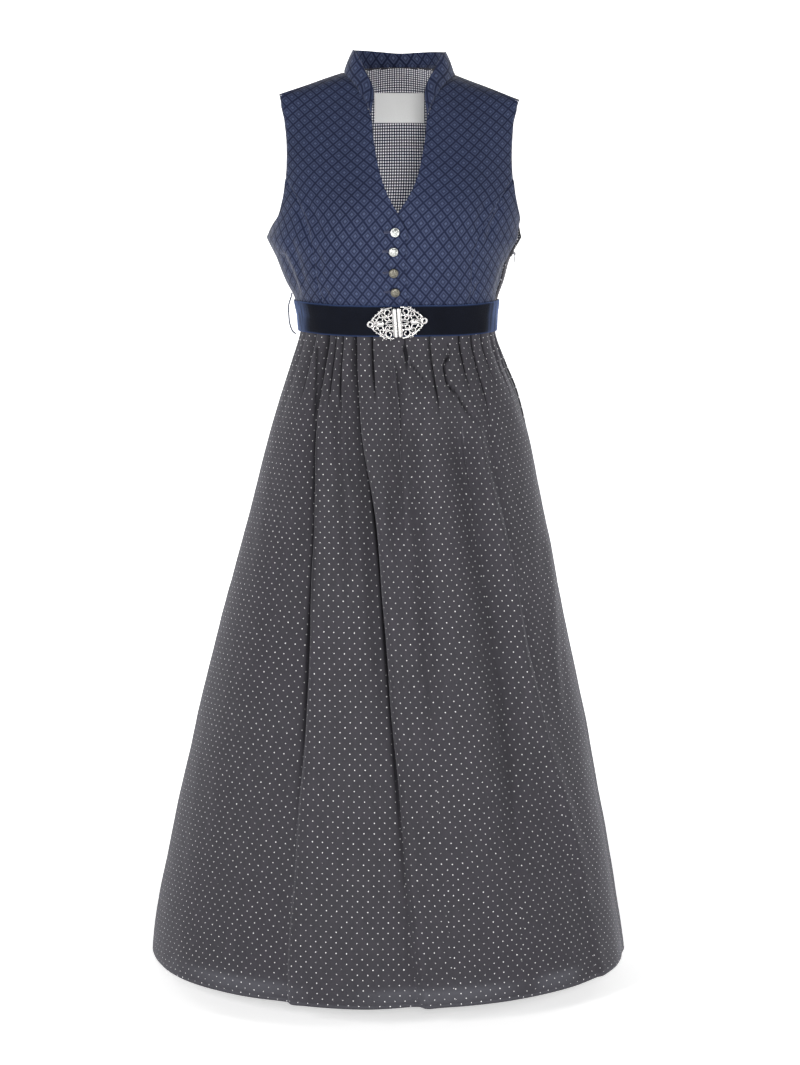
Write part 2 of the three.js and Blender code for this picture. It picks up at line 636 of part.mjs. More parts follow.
function solidOf(geometry) {
  const bare = geometry.clone();
  bare.deleteAttribute("normal");
  bare.deleteAttribute("uv");
  const merged = mergeVertices(bare, 1e-4);
  return new wasm.Manifold(
    new wasm.Mesh({
      numProp: 3,
      vertProperties: merged.attributes.position.array,
      triVerts: new Uint32Array(merged.index.array),
    }),
  );
}
function geometryOf(solid) {
  const mesh = solid.getMesh();
  const geometry = new THREE.BufferGeometry();
  geometry.setAttribute("position", new THREE.Float32BufferAttribute(mesh.vertProperties, 3));
  geometry.setIndex([...mesh.triVerts]);
  return geometry;
}
// A flat wire of a given width along a line in the buckle's plane, as a solid plate.
function wire(points, line, plate = BUCKLE_PLATE) {
  const sides = points.map((p, i) => {
    const along = points[Math.min(i + 1, points.length - 1)].clone().sub(points[Math.max(i - 1, 0)]).normalize();
    return new THREE.Vector2(-along.y, along.x).multiplyScalar(line / 2);
  });
  const outline = [
    ...points.map((p, i) => p.clone().add(sides[i])),
    ...points.map((p, i) => p.clone().sub(sides[i])).reverse(),
  ];
  if (THREE.ShapeUtils.area(outline) < 0) outline.reverse();
  const shape = new THREE.Shape(outline);
  return solidOf(new THREE.ExtrudeGeometry(shape, { depth: plate, bevelEnabled: false }));
}
function spiral({ x, y, radius, from, turns, shrink }, steps) {
  return Array.from({ length: steps + 1 }, (_, i) => {
    const t = i / steps;
    const a = rad(from + turns * t);
    const r = radius * (1 - shrink * t);
    return new THREE.Vector2(x + r * Math.cos(a), y + r * Math.sin(a));
  });
}
const splineOf = (rows, steps) => new THREE.SplineCurve(rows.map(([x, y]) => new THREE.Vector2(x, y))).getPoints(steps);
function disc(x, y, rx, ry, depth, sides) {
  const shape = new THREE.Shape().absellipse(x, y, rx, ry, 0, 2 * Math.PI, false, 0);
  return solidOf(new THREE.ExtrudeGeometry(shape, { depth, bevelEnabled: false, curveSegments: sides }));
}
function buckleHalf(side) {
  const pieces = [wire(splineOf(STEM, 2), 2.4)];
  for (const flip of [1, -1]) {
    const turned = (points) => points.map((p) => new THREE.Vector2(p.x, p.y * flip));
    for (const scroll of SCROLLS) pieces.push(wire(turned(spiral(scroll, 11)), scroll.line));
    pieces.push(wire(turned(splineOf(RIM, 10)), 1.6), wire(turned(splineOf(VINE, 7)), 1.6));
  }
  pieces.push(disc(BOSS.x, 0, BOSS.long, BOSS.tall, BUCKLE_PLATE, 12));
  pieces.push(disc(BOSS.x, 0, BOSS.long * 0.62, BOSS.tall * 0.62, BOSS.proud + BUCKLE_PLATE, 12));
  const barShape = new THREE.Shape([
    new THREE.Vector2(BARS.low, -BARS.half),
    new THREE.Vector2(BARS.high, -BARS.half),
    new THREE.Vector2(BARS.high, BARS.half),
    new THREE.Vector2(BARS.low, BARS.half),
  ]);
  pieces.push(solidOf(new THREE.ExtrudeGeometry(barShape, { depth: 3, bevelEnabled: false })));
  let plate = wasm.Manifold.union(pieces);
  plate = plate.add(disc(EYE.x, 0, EYE.outer, EYE.outer, BUCKLE_PLATE, 12));
  const hole = disc(EYE.x, 0, EYE.hole, EYE.hole, 9, 10).translate([0, 0, -3]);
  plate = plate.subtract(hole);
  const geometry = geometryOf(plate);
  // The plate stands in front of the belt, bent to its curve, with plate x across and plate y up.
  const position = geometry.attributes.position;
  for (let i = 0; i < position.count; i++) {
    const across = position.getX(i);
    const up = position.getY(i);
    const out = position.getZ(i) + 2 * SEAM_GAP;
    const x = side * (across * Math.cos(BUCKLE_TILT)) + up * Math.sin(BUCKLE_TILT);
    const z = BELT_MIDDLE - 1.6 + up + side * across * Math.sin(BUCKLE_TILT);
    const angle = deg(Math.asin(x / 141));
    const behind = beltPoint({ angle, level: clamp(z, BELT_BOTTOM, BELT_TOP) }, BELT_CLOTH);
    position.setXYZ(i, x + bodice.lean(BELT_MIDDLE), behind.y - out, z);
  }
  // Across runs right on the right half, so turning it to face -Y mirrors that half's faces.
  const index = geometry.index;
  if (side < 0) {
    for (let i = 0; i < index.count; i += 3) {
      const b = index.getX(i + 1);
      index.setX(i + 1, index.getX(i + 2));
      index.setX(i + 2, b);
    }
  }
  return geometry;
}

// Domed metal buttons down the centre front, above the belt.
const BUTTONS = [{ z: -193 }, { z: -218.5 }, { z: -247 }, { z: -273 }];
const BUTTON = { radius: 6.4, edge: 1.4, dome: 3.6, back: 3.4, shank: 1.5 };
function button() {
  const profile = [
    [0, 0],
    [BUTTON.shank, 0],
    [BUTTON.shank, 1],
    [BUTTON.radius - 0.5, 1],
    [BUTTON.radius, 1.5],
    [BUTTON.radius, 1 + BUTTON.edge],
    [BUTTON.radius * 0.72, 1 + BUTTON.edge + 1.3],
    [BUTTON.radius * 0.4, BUTTON.dome + 0.7],
    [0, BUTTON.dome + 1],
  ];
  return new THREE.LatheGeometry(profile.map(([r, h]) => new THREE.Vector2(r, h)), 18);
}

// The thread loop at the left side that keeps the belt in place.
const LOOP = { angle: -88, thread: 0.8, bulge: 5.5 };
function beltLoop() {
  const foot = (level, out) => {
    const base = bodicePoint({ angle: LOOP.angle, level: Math.max(level, WAIST) });
    const inwards = level < WAIST ? 0.5 : 0;
    return base.setZ(level).setX(base.x - out + inwards);
  };
  const stops = [
    foot(BELT_TOP + 9, 1.2),
    foot(BELT_TOP + 4, 4.6),
    foot(BELT_TOP - 8, 6 + LOOP.bulge),
    foot(BELT_MIDDLE - 2, 8.6 + LOOP.bulge),
    foot(BELT_BOTTOM + 9, 11 + LOOP.bulge * 0.7),
    foot(BELT_BOTTOM - 1, 11.6),
    foot(BELT_BOTTOM - 4.5, 7.6),
  ];
  const path = new THREE.CatmullRomCurve3(stops, false, "centripetal");
  const section = new THREE.Shape().absarc(0, 0, LOOP.thread, 0, 2 * Math.PI, false);
  return new THREE.ExtrudeGeometry(section, {
    steps: 18,
    bevelEnabled: false,
    extrudePath: path,
    curveSegments: 4,
  });
}

// The concealed zip in the right side seam: its slider, and the tab that hangs from the slider's bridge.
const ZIP_ANGLE = 81;
const SLIDER = { wide: 4.4, tall: 8, clear: 0.5, thick: 1.5 };
const TAB = { wide: 4.6, thick: 1, length: 13.5, neck: 4 };
const PIN = { radius: 0.6, room: 0.25, reach: 4.6 };
const PIVOT = bodicePoint({ angle: ZIP_ANGLE, level: ZIP_TOP }).add(new THREE.Vector3(PIN.reach, 0, 0));
const block = (wide, deep, tall, x, y, z) =>
  solidOf(new THREE.BoxGeometry(wide, deep, tall).translate(x, y, z));
const pinAlongY = (radius, length) => solidOf(new THREE.CylinderGeometry(radius, radius, length, 12));
function zipSlider() {
  const { x, y, z } = PIVOT;
  // The body lies along the seam: its corners follow the cloth, a little way off it.
  const body = new THREE.BoxGeometry(SLIDER.thick, SLIDER.wide, SLIDER.tall);
  const corners = body.attributes.position;
  for (let i = 0; i < corners.count; i++) {
    const out = corners.getX(i) + SLIDER.clear + SLIDER.thick / 2;
    const spot = { angle: ZIP_ANGLE + corners.getY(i) / 2.1, level: ZIP_TOP + corners.getZ(i) };
    const normal = outwardNormal(bodicePoint, spot, ["angle", "level"]);
    const p = bodicePoint(spot).addScaledVector(normal, out);
    corners.setXYZ(i, p.x, p.y, p.z);
  }
  const cheek = (side) => block(4.2, 0.7, 2.6, x - 1.1, y + side * 1.6, z);
  const pin = pinAlongY(PIN.radius, 3.4).translate([x, y, z]);
  return geometryOf(wasm.Manifold.union([solidOf(body), cheek(1), cheek(-1), pin]));
}
function pullTab() {
  const { x, y, z } = PIVOT;
  const neck = block(2.2, 2.1, TAB.neck, x, y, z + 1.3 - TAB.neck / 2);
  const bladeLength = TAB.length - TAB.neck + 1;
  const blade = block(TAB.thick, TAB.wide, bladeLength, x, y, z + 2.3 - TAB.neck - bladeLength / 2);
  const hole = pinAlongY(PIN.radius + PIN.room, 6).translate([x, y, z]);
  return geometryOf(neck.add(blade).subtract(hole));
}

const group = new THREE.Group();
const finishes = {
  jacquard: { color: COLOURS.jacquard, roughness: 0.75, metalness: 0 },
  charcoal: { color: COLOURS.charcoal, roughness: 0.85, metalness: 0 },
  gingham: { color: COLOURS.gingham, roughness: 0.85, metalness: 0 },
  velvet: { color: COLOURS.velvet, roughness: 0.6, metalness: 0 },
  silver: { color: COLOURS.silver, roughness: 0.3, metalness: 1 },
  pewter: { color: COLOURS.pewter, roughness: 0.4, metalness: 1 },
  satin: { color: COLOURS.satin, roughness: 0.5, metalness: 0 },
  zip: { color: COLOURS.zip, roughness: 0.4, metalness: 0.6 },
};
function add(name, geometry, finish) {
  const mesh = new THREE.Mesh(geometry, new THREE.MeshStandardMaterial(finishes[finish]));
  mesh.name = name;
  group.add(mesh);
  return mesh;
}

add("front_left", centreFront(-1, PLACKET_OVERLAP, PLACKET_LIFT), "jacquard");
add("front_right", centreFront(1, PLACKET_UNDERLAP, 0), "jacquard");
add("side_front_left", sideFront(-1, 90, ARMHOLE_BELOW), "jacquard");
add("side_front_right", sideFront(1, RIGHT_SEAM_ANGLE, ARMHOLE_BELOW_RIGHT), "jacquard");
add("back", backPanel(), "charcoal");
add("back_lining", backLining(), "gingham");
add("neck_label", label(), "satin");
add("collar", collar(), "jacquard");
add("skirt_front", skirtPanel(false), "charcoal");
add("skirt_back", skirtPanel(true), "charcoal");
add("belt", belt(), "velvet");
add("buckle_left", buckleHalf(-1), "silver");
add("buckle_right", buckleHalf(1), "silver");
BUTTONS.forEach(({ z }, i) => {
  const mesh = add("button_" + (i + 1), button(), "pewter");
  const place = (spot) => bodicePoint(spot, PLACKET_LIFT);
  const spot = bodiceSpot(0, z);
  const out = outwardNormal(place, spot, ["angle", "level"]);
  mesh.position.copy(place(spot)).addScaledVector(out, 2 * SEAM_GAP);
  mesh.quaternion.setFromUnitVectors(new THREE.Vector3(0, 1, 0), out);
});
add("belt_loop", beltLoop(), "velvet");
add("zip_slider", zipSlider(), "zip");
add("zip_pull_tab", pullTab(), "zip");

export default group;
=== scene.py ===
"""A long sleeveless dirndl, filled out as it is worn: its cloth, its metal and its setting."""

import math

import bpy
import numpy as np
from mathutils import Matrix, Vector


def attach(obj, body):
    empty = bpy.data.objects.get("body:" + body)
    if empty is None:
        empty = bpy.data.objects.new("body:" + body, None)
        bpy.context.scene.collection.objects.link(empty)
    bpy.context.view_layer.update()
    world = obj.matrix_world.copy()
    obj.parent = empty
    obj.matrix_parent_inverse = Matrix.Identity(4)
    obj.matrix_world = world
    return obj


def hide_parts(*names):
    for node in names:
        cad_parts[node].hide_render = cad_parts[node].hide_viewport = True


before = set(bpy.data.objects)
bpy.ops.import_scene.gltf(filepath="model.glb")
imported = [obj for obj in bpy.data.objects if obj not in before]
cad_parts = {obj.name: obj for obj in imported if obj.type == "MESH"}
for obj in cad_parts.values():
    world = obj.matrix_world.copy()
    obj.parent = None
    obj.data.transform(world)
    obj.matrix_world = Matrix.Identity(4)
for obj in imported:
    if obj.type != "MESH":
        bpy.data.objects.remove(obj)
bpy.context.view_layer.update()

# Sizes in millimetres, the same as those of the solids.
MM = 0.001
COLLAR_TOP = 45.0
SHOULDER_RIDGE = 18.0
NECK_HALF_WIDTH = 76.0
SHOULDER_SLOPE = 0.37
SHOULDER_TILT = 0.022
RIDGE_SHIFT = 8.0
ARMPIT = -206.0
V_BOTTOM = -174.0
BELT_TOP = -292.0
BELT_BOTTOM = -334.0
WAIST = -325.0
HEM = -1215.0
PLACKET_LIFT = 2.5
PLACKET_OVERLAP = 16.0
PLACKET_UNDERLAP = 11.0
RIGHT_SEAM_ANGLE = 78.0
ZIP_TOP = -227.0
SEAM_GAP = 0.36

# level, width, front, back, lean
BODICE_SECTIONS = np.array([
    (WAIST, 134, 98, 88, -3),
    (BELT_TOP, 139, 103, 90, -5),
    (-265, 150, 110, 93, -7),
    (-235, 160, 115, 96, -9),
    (ARMPIT, 171, 118, 99, -8),
    (-165, 173, 116, 101, -3),
    (-120, 172, 104, 100, -1),
    (-70, 170, 81, 90, -1),
    (-30, 168, 57, 70, -1),
    (-12, 167, 43, 54, -1),
    (0, 167, 33, 42, -1),
    (8, 166, 24, 31, -1),
    (14, 166, 13, 17, -1),
    (SHOULDER_RIDGE, 166, 0, 0, -1),
], float)
BUST = dict(x=74, z=-188, forward=9, spread=36, height=44)

# z, width, front, back, lean, from the hem up
SKIRT_SECTIONS = np.array([
    (HEM, 336, 290, 279, -16),
    (-1150, 327, 281, 270, -17),
    (-1036, 306, 262, 251, -15),
    (-851, 267, 228, 218, -12),
    (-714, 235, 200, 191, -9),
    (-578, 203, 171, 162, -4),
    (-488, 182, 150, 142, -2),
    (-421, 164, 131, 123, 0),
    (-377, 148, 114, 106, -2),
    (-338, 135, 100, 91, -3),
    (WAIST, 133, 97, 87, -3),
], float)

# How the long folds wander as they fall: a row is one fold's angle at the waist and at each drop.
DROPS = np.array([0, 110, 220, 330, 530, WAIST - HEM], float)
FRONT_DRIFT = np.array([
    (-90, -90, -90, -90, -90, -90),
    (-44, -42, -36, -32, -26.5, -24.5),
    (-25, -18.8, -10.6, -5, 0.6, 7.2),
    (4.4, 4.6, 6.2, 8, 12, 16),
    (29, 27.5, 30.5, 34.5, 37.6, 33),
    (49, 46, 45, 47, 51, 60),
    (90, 90, 90, 90, 90, 90),
], float)
BACK_DRIFT = np.array([
    (90, 90, 90, 90, 90, 90),
    (127, 128, 132, 136, 140, 143),
    (152, 154, 158, 160, 164, 166),
    (178, 180, 182, 184, 186, 188),
    (205, 203, 203, 204, 207, 208),
    (233, 231, 228, 227, 226, 224),
    (270, 270, 270, 270, 270, 270),
], float)
# Gathers sewn into the waist: angle, depth, reach down the skirt, share that lasts to the hem,
# depth of the slit at its line, and how far the cloth on its right laps over that slit.
FRONT_GATHERS = [
    (-81, 3, 120, 0, 0, 0),
    (-70, 3, 150, 0, 0, 0),
    (-56, 4, 110, 0, 4, 1.8),
    (-44, 12, 760, 0.4, 8, 1.4),
    (-38.5, 3, 120, 0, 4, 1.6),
    (-33.5, 5, 130, 0, 4.5, 1.8),
    (-25, 14, 880, 0.45, 7, 2.8),
    (-15, 4, 110, 0, 4.5, 1.8),
    (-5, 3, 330, 0, 0, 0),
    (4.4, 4, 70, 0, 2.4, 1.2),
    (12, 1, 90, 0, 0, 0),
    (19.5, 5, 130, 0, 5, 2.2),
    (29, 3, 330, 0, 0, 0),
    (39, 4, 110, 0, 3.6, 1.2),
    (49, 5, 150, 0.2, 3, 1),
    (58, 3, 90, 0, 2.4, 0.8),
    (70, 3, 130, 0, 0, 0),
    (81, 3, 120, 0, 0, 0),
]
BACK_GATHERS = [
    (97, 3, 110, 0, 1.5, 0),
    (107, 4, 160, 0, 3, 1),
    (117, 4, 120, 0, 3.5, 1.5),
    (127, 9, 480, 0.3, 4.5, 2.8),
    (135, 3, 130, 0, 2, 1),
    (144, 5, 190, 0, 4, 1.8),
    (152, 8, 600, 0.3, 5, 3.2),
    (161, 3, 110, 0, 2.5, 1),
    (170, 4, 170, 0, 4.5, 2),
    (178, 9, 520, 0.35, 4.5, 3),
    (187, 3, 120, 0, 3, 1.4),
    (196, 5, 200, 0, 4, 1.8),
    (205, 8, 560, 0.3, 5, 3.2),
    (214, 4, 130, 0, 3, 1.4),
    (223, 4, 160, 0, 2.5, 1),
    (233, 9, 440, 0.35, 4.5, 2.6),
    (244, 4, 130, 0, 3.5, 1.5),
    (254, 4, 150, 0, 2.5, 1),
    (263, 3, 110, 0, 1.5, 0),
]
SOFT_SIDE = dict(waist=5, growth=0.072, most=42)
STEEP_SIDE = dict(waist=1.6, growth=0.008, most=6)
LONG_FOLD_EXTRA = 8
CREST = 6
HEM_WAVES = [(5, 3, 0.6), (9, 2.2, 2.1)]

# The jacquard's diamonds, the skirt's dots and the lining's checks, in metres.
DIAMOND = (0.0162, 0.0196)
DOT_PERIOD = 0.014
DOT_RADIUS = 0.0006
CHECK = (0.0035, 0.0041)


def smooth(t, low=0.0, high=1.0):
    t = np.clip((np.asarray(t, float) - low) / (high - low), 0, 1)
    return t * t * (3 - 2 * t)


def through(keys, values):
    """A smooth curve through rising keys that doesn't overshoot its values."""
    keys = np.asarray(keys, float)
    values = np.asarray(values, float)
    slope = np.diff(values) / np.diff(keys)
    tangent = np.zeros(len(keys))
    tangent[0], tangent[-1] = slope[0], slope[-1]
    product = slope[:-1] * slope[1:]
    total = np.where(product > 0, slope[:-1] + slope[1:], 1)
    tangent[1:-1] = np.where(product > 0, 2 * product / total, 0)

    def at(x):
        x = np.asarray(x, float)
        i = np.clip(np.searchsorted(keys, x) - 1, 0, len(keys) - 2)
        step = keys[i + 1] - keys[i]
        t = np.clip((x - keys[i]) / step, 0, 1)
        t2, t3 = t * t, t * t * t
        return (
            (2 * t3 - 3 * t2 + 1) * values[i]
            + (t3 - 2 * t2 + t) * step * tangent[i]
            + (3 * t2 - 2 * t3) * values[i + 1]
            + (t3 - t2) * step * tangent[i + 1]
        )

    return at


NAMES = ("width", "front", "back", "lean")
bodice = {n: through(BODICE_SECTIONS[:, 0], BODICE_SECTIONS[:, i + 1]) for i, n in enumerate(NAMES)}
skirt = {n: through(SKIRT_SECTIONS[:, 0], SKIRT_SECTIONS[:, i + 1]) for i, n in enumerate(NAMES)}


def shoulder_blend(level):
    return smooth(level, ARMPIT, -10)


def shoulder_rise(x):
    neck = 14 * smooth(1 - np.abs(x) / NECK_HALF_WIDTH)
    return SHOULDER_SLOPE * (NECK_HALF_WIDTH - np.hypot(x, 30)) + neck - SHOULDER_TILT * x


def bodice_point(angle, level, lift=0.0):
    """Points of the bodice's outer surface. Angle 0 is the centre front, 90 the right side."""
    a = np.radians(angle)
    cosine = np.cos(a)
    x = bodice["width"](level) * np.sin(a)
    z = level + shoulder_rise(x) * shoulder_blend(level)
    # The side seams' upper ends stand out as corners under the arms.
    x = x + 4 * np.sin(a) ** 11 * np.exp(-np.abs(level - ARMPIT) / 9)
    depth = np.where(cosine > 0, bodice["front"](level), bodice["back"](level))
    y = RIDGE_SHIFT * smooth(level, -250, 0) - depth * cosine
    across = (np.abs(x) - BUST["x"]) / BUST["spread"]
    up = (z - BUST["z"]) / BUST["height"]
    swell = BUST["forward"] * np.exp(-(across**2 + up**2) / 2) * np.sqrt(np.maximum(cosine, 0))
    y = y - np.where(cosine > 0, swell + lift, 0)
    return np.stack([x + bodice["lean"](level), y, z], -1)


def bodice_spot(x, z, is_back=False):
    """The angle and level of the surface point with this x, from the dress's own centre, and this height."""
    low, high = WAIST, SHOULDER_RIDGE
    for _ in range(40):
        level = (low + high) / 2
        if level + shoulder_rise(x) * shoulder_blend(level) < z:
            low = level
        else:
            high = level
    angle = math.degrees(math.asin(min(1, max(-1, x / float(bodice["width"](level))))))
    return (180 - angle if is_back else angle, level)


def drift_angle(table, waist_angle, drop):
    curves = [through(DROPS, row)(drop) for row in table]
    out = np.array(np.broadcast_to(curves[-1], np.broadcast(waist_angle, drop).shape))
    for i in range(len(table) - 1):
        low, high = table[i][0], table[i + 1][0]
        t = (waist_angle - low) / (high - low)
        inside = (waist_angle >= low) & (waist_angle <= high)
        out = np.where(inside, curves[i] * (1 - t) + curves[i + 1] * t, out)
    return out


def gathers_at(gathers, table, angle, drop, arc_speed):
    """How far the cloth goes in, how much painted shade falls in and beside each tuck's slit, and how far it
    laps sideways.
    """
    wide = np.minimum(SOFT_SIDE["most"], SOFT_SIDE["waist"] + SOFT_SIDE["growth"] * drop)
    tight = np.minimum(STEEP_SIDE["most"], STEEP_SIDE["waist"] + STEEP_SIDE["growth"] * drop)
    total = np.zeros(np.broadcast(angle, drop).shape)
    slit_shade = np.zeros(total.shape)
    lapped = np.zeros(total.shape)
    for waist_angle, depth, reach, lasting, slit, lip in gathers:
        away = np.radians(angle - drift_angle(table, np.float64(waist_angle), drop)) * arc_speed
        start = 0.35 + 0.65 * smooth(drop, 0, 34)
        left = np.maximum(1 - smooth(drop, reach * 0.25, reach), lasting)
        longer = LONG_FOLD_EXTRA * smooth(drop, 30, 220) if lasting else 0
        share = away / np.where(away < 0, wide, tight)
        total += (depth + longer) * start * left * np.exp(-(share**2))
        if lasting:
            total -= CREST * smooth(drop, 40, 180) * left * np.exp(-(((away - 11) / 13) ** 2))
        # The slit where the tuck's two sides meet is narrow, and fades sooner than the valley.
        narrow = np.where(away < 0, 0.32, 0.18) * max(slit, 1) * (1 + drop / 1100)
        kept = 1 - smooth(drop, reach * 0.4, reach * 0.95)
        crest = 1.5 + np.minimum(tight, 4) * 0.55
        lapped -= lip * kept * np.exp(-(((away - crest) / (0.62 * crest)) ** 2))
        pinch = slit * kept * np.exp(-np.abs(away / narrow) ** 1.5)
        total += pinch
        # A slit on a flank is seen from its open side; painted shade darkens the slit and the cloth beside it
        # on that side.
        shaded = 2.5 + 7 * np.abs(np.sin(np.radians(angle)))
        slit_shade += pinch / max(2.4, 0.5 * slit)
        slit_shade += 0.11 * slit * kept * np.exp(-((away / shaded) ** 2)) * (away < 0)
    return total, slit_shade, lapped


def skirt_point(waist_angle, drop, is_back):
    table, gathers = (BACK_DRIFT, BACK_GATHERS) if is_back else (FRONT_DRIFT, FRONT_GATHERS)
    z = WAIST - drop
    angle = drift_angle(table, waist_angle, drop)
    a = np.radians(angle)
    width = skirt["width"](z)
    depth = skirt["back" if is_back else "front"](z)
    arc_speed = np.hypot(width * np.cos(a), depth * np.sin(a))
    inward, slit_shade, lapped = gathers_at(gathers, table, angle, drop, arc_speed)
    for count, size, phase in HEM_WAVES:
        inward = inward + size * (1 - np.cos(count * a + phase)) * smooth(drop, 150, WAIST - HEM) / 2
    inward = inward * smooth(np.abs(np.cos(a)), 0, 0.12)
    out = np.stack([np.sin(a) / width, -np.cos(a) / depth], -1)
    out /= np.linalg.norm(out, axis=-1, keepdims=True)
    x = width * np.sin(a) + skirt["lean"](z) - inward * out[..., 0] - lapped * out[..., 1]
    y = -depth * np.cos(a) - inward * out[..., 1] + lapped * out[..., 0]
    return np.stack([x, y, np.broadcast_to(z, x.shape)], -1), slit_shade


def spline(stops, count):
    """Evenly spaced points of a centripetal curve through the stops."""
    stops = np.asarray(stops, float)
    if len(stops) == 2:
        t = np.linspace(0, 1, count + 1)[:, None]
        return stops[0] * (1 - t) + stops[1] * t
    pts = np.vstack([2 * stops[0] - stops[1], stops, 2 * stops[-1] - stops[-2]])
    fine = []
    for i in range(1, len(pts) - 2):
        p0, p1, p2, p3 = pts[i - 1 : i + 3]
        k = [0.0]
        for a, b in ((p0, p1), (p1, p2), (p2, p3)):
            k.append(k[-1] + max(np.linalg.norm(b - a) ** 0.5, 1e-4))
        t = np.linspace(k[1], k[2], 40, endpoint=i == len(pts) - 3)[:, None]
        a1 = (k[1] - t) / (k[1] - k[0]) * p0 + (t - k[0]) / (k[1] - k[0]) * p1
        a2 = (k[2] - t) / (k[2] - k[1]) * p1 + (t - k[1]) / (k[2] - k[1]) * p2
        a3 = (k[3] - t) / (k[3] - k[2]) * p2 + (t - k[2]) / (k[3] - k[2]) * p3
        b1 = (k[2] - t) / (k[2] - k[0]) * a1 + (t - k[0]) / (k[2] - k[0]) * a2
        b2 = (k[3] - t) / (k[3] - k[1]) * a2 + (t - k[1]) / (k[3] - k[1]) * a3
        fine.append((k[2] - t) / (k[2] - k[1]) * b1 + (t - k[1]) / (k[2] - k[1]) * b2)
    fine = np.vstack(fine)
    run = np.concatenate([[0], np.cumsum(np.linalg.norm(np.diff(fine, axis=0), axis=1))])
    at = np.linspace(0, run[-1], count + 1)
    return np.stack([np.interp(at, run, fine[:, j]) for j in range(fine.shape[1])], -1)


def edge(*lines):
    parts = [spline(stops, rows) for rows, stops in lines]
    return np.vstack([parts[0]] + [p[1:] for p in parts[1:]])


def between(left, right, columns):
    t = np.linspace(0, 1, columns + 1)[None, :, None]
    return left[:, None, :] * (1 - t) + right[:, None, :] * t


def normals_of(points):
    """Unit normals of a grid of points, columns across then rows up."""
    across = np.gradient(points, axis=1)
    up = np.gradient(points, axis=0)
    n = np.cross(across, up)
    return n / np.maximum(np.linalg.norm(n, axis=-1, keepdims=True), 1e-9)


def lengths(points, axis):
    step = np.linalg.norm(np.diff(points, axis=axis), axis=-1)
    first = np.zeros_like(np.take(step, [0], axis=axis))
    return np.concatenate([first, np.cumsum(step, axis=axis)], axis=axis)


def noise(points, size, seed):
    """Soft unevenness from -1 to 1 that repeats for the same seed."""
    random = np.random.RandomState(seed)
    total = np.zeros(points.shape[:-1])
    for _ in range(7):
        direction = random.normal(size=3)
        direction /= np.linalg.norm(direction)
        wave = size * random.uniform(0.7, 1.5)
        total += np.sin(points @ direction * (2 * math.pi / wave) + random.uniform(0, 6.28))
    return total / 4


# Making meshes
def add_object(name, mesh, materials, body):
    obj = bpy.data.objects.new(name, mesh)
    bpy.context.scene.collection.objects.link(obj)
    for m in materials:
        mesh.materials.append(m)
    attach(obj, body)
    return obj


def set_smooth(mesh):
    mesh.polygons.foreach_set("use_smooth", [True] * len(mesh.polygons))
    mesh.update()


def cloth(name, points, uv, thickness, materials, shades=None, body="dress"):
    """A thin shell from a grid of outer points in millimetres. Its inside takes the second material.
    uv is in metres, one for each point or one for each corner of each face."""
    rows, columns = points.shape[:2]
    index = np.arange(rows * columns).reshape(rows, columns)
    faces = np.stack([index[:-1, :-1], index[:-1, 1:], index[1:, 1:], index[1:, :-1]], -1).reshape(-1, 4)
    mesh = bpy.data.meshes.new(name)
    mesh.from_pydata((points.reshape(-1, 3) * MM).tolist(), [], faces.tolist())
    layer = mesh.uv_layers.new(name="cloth")
    corners = uv if uv.ndim == 4 else uv.reshape(-1, 2)[faces.ravel()]
    layer.data.foreach_set("uv", corners.ravel().astype(np.float32))
    for key, values in (shades or {}).items():
        attribute = mesh.attributes.new(key, "FLOAT", "POINT")
        attribute.data.foreach_set("value", values.ravel().astype(np.float32))
    set_smooth(mesh)
    # The cut edges stay crisp.
    ends = np.zeros(len(mesh.edges) * 2, np.int32)
    mesh.edges.foreach_get("vertices", ends)
    row, column = np.divmod(ends.reshape(-1, 2), columns)
    crisp = np.zeros(len(row), bool)
    for place, last in ((row, rows - 1), (column, columns - 1)):
        crisp |= (place == 0).all(1) | (place == last).all(1)
    mesh.attributes.new("sharp_edge", "BOOLEAN", "EDGE").data.foreach_set("value", crisp)
    obj = add_object(name, mesh, materials, body)
    shell = obj.modifiers.new("thickness", "SOLIDIFY")
    shell.thickness = thickness * MM
    shell.offset = -1
    shell.material_offset = 1
    return obj


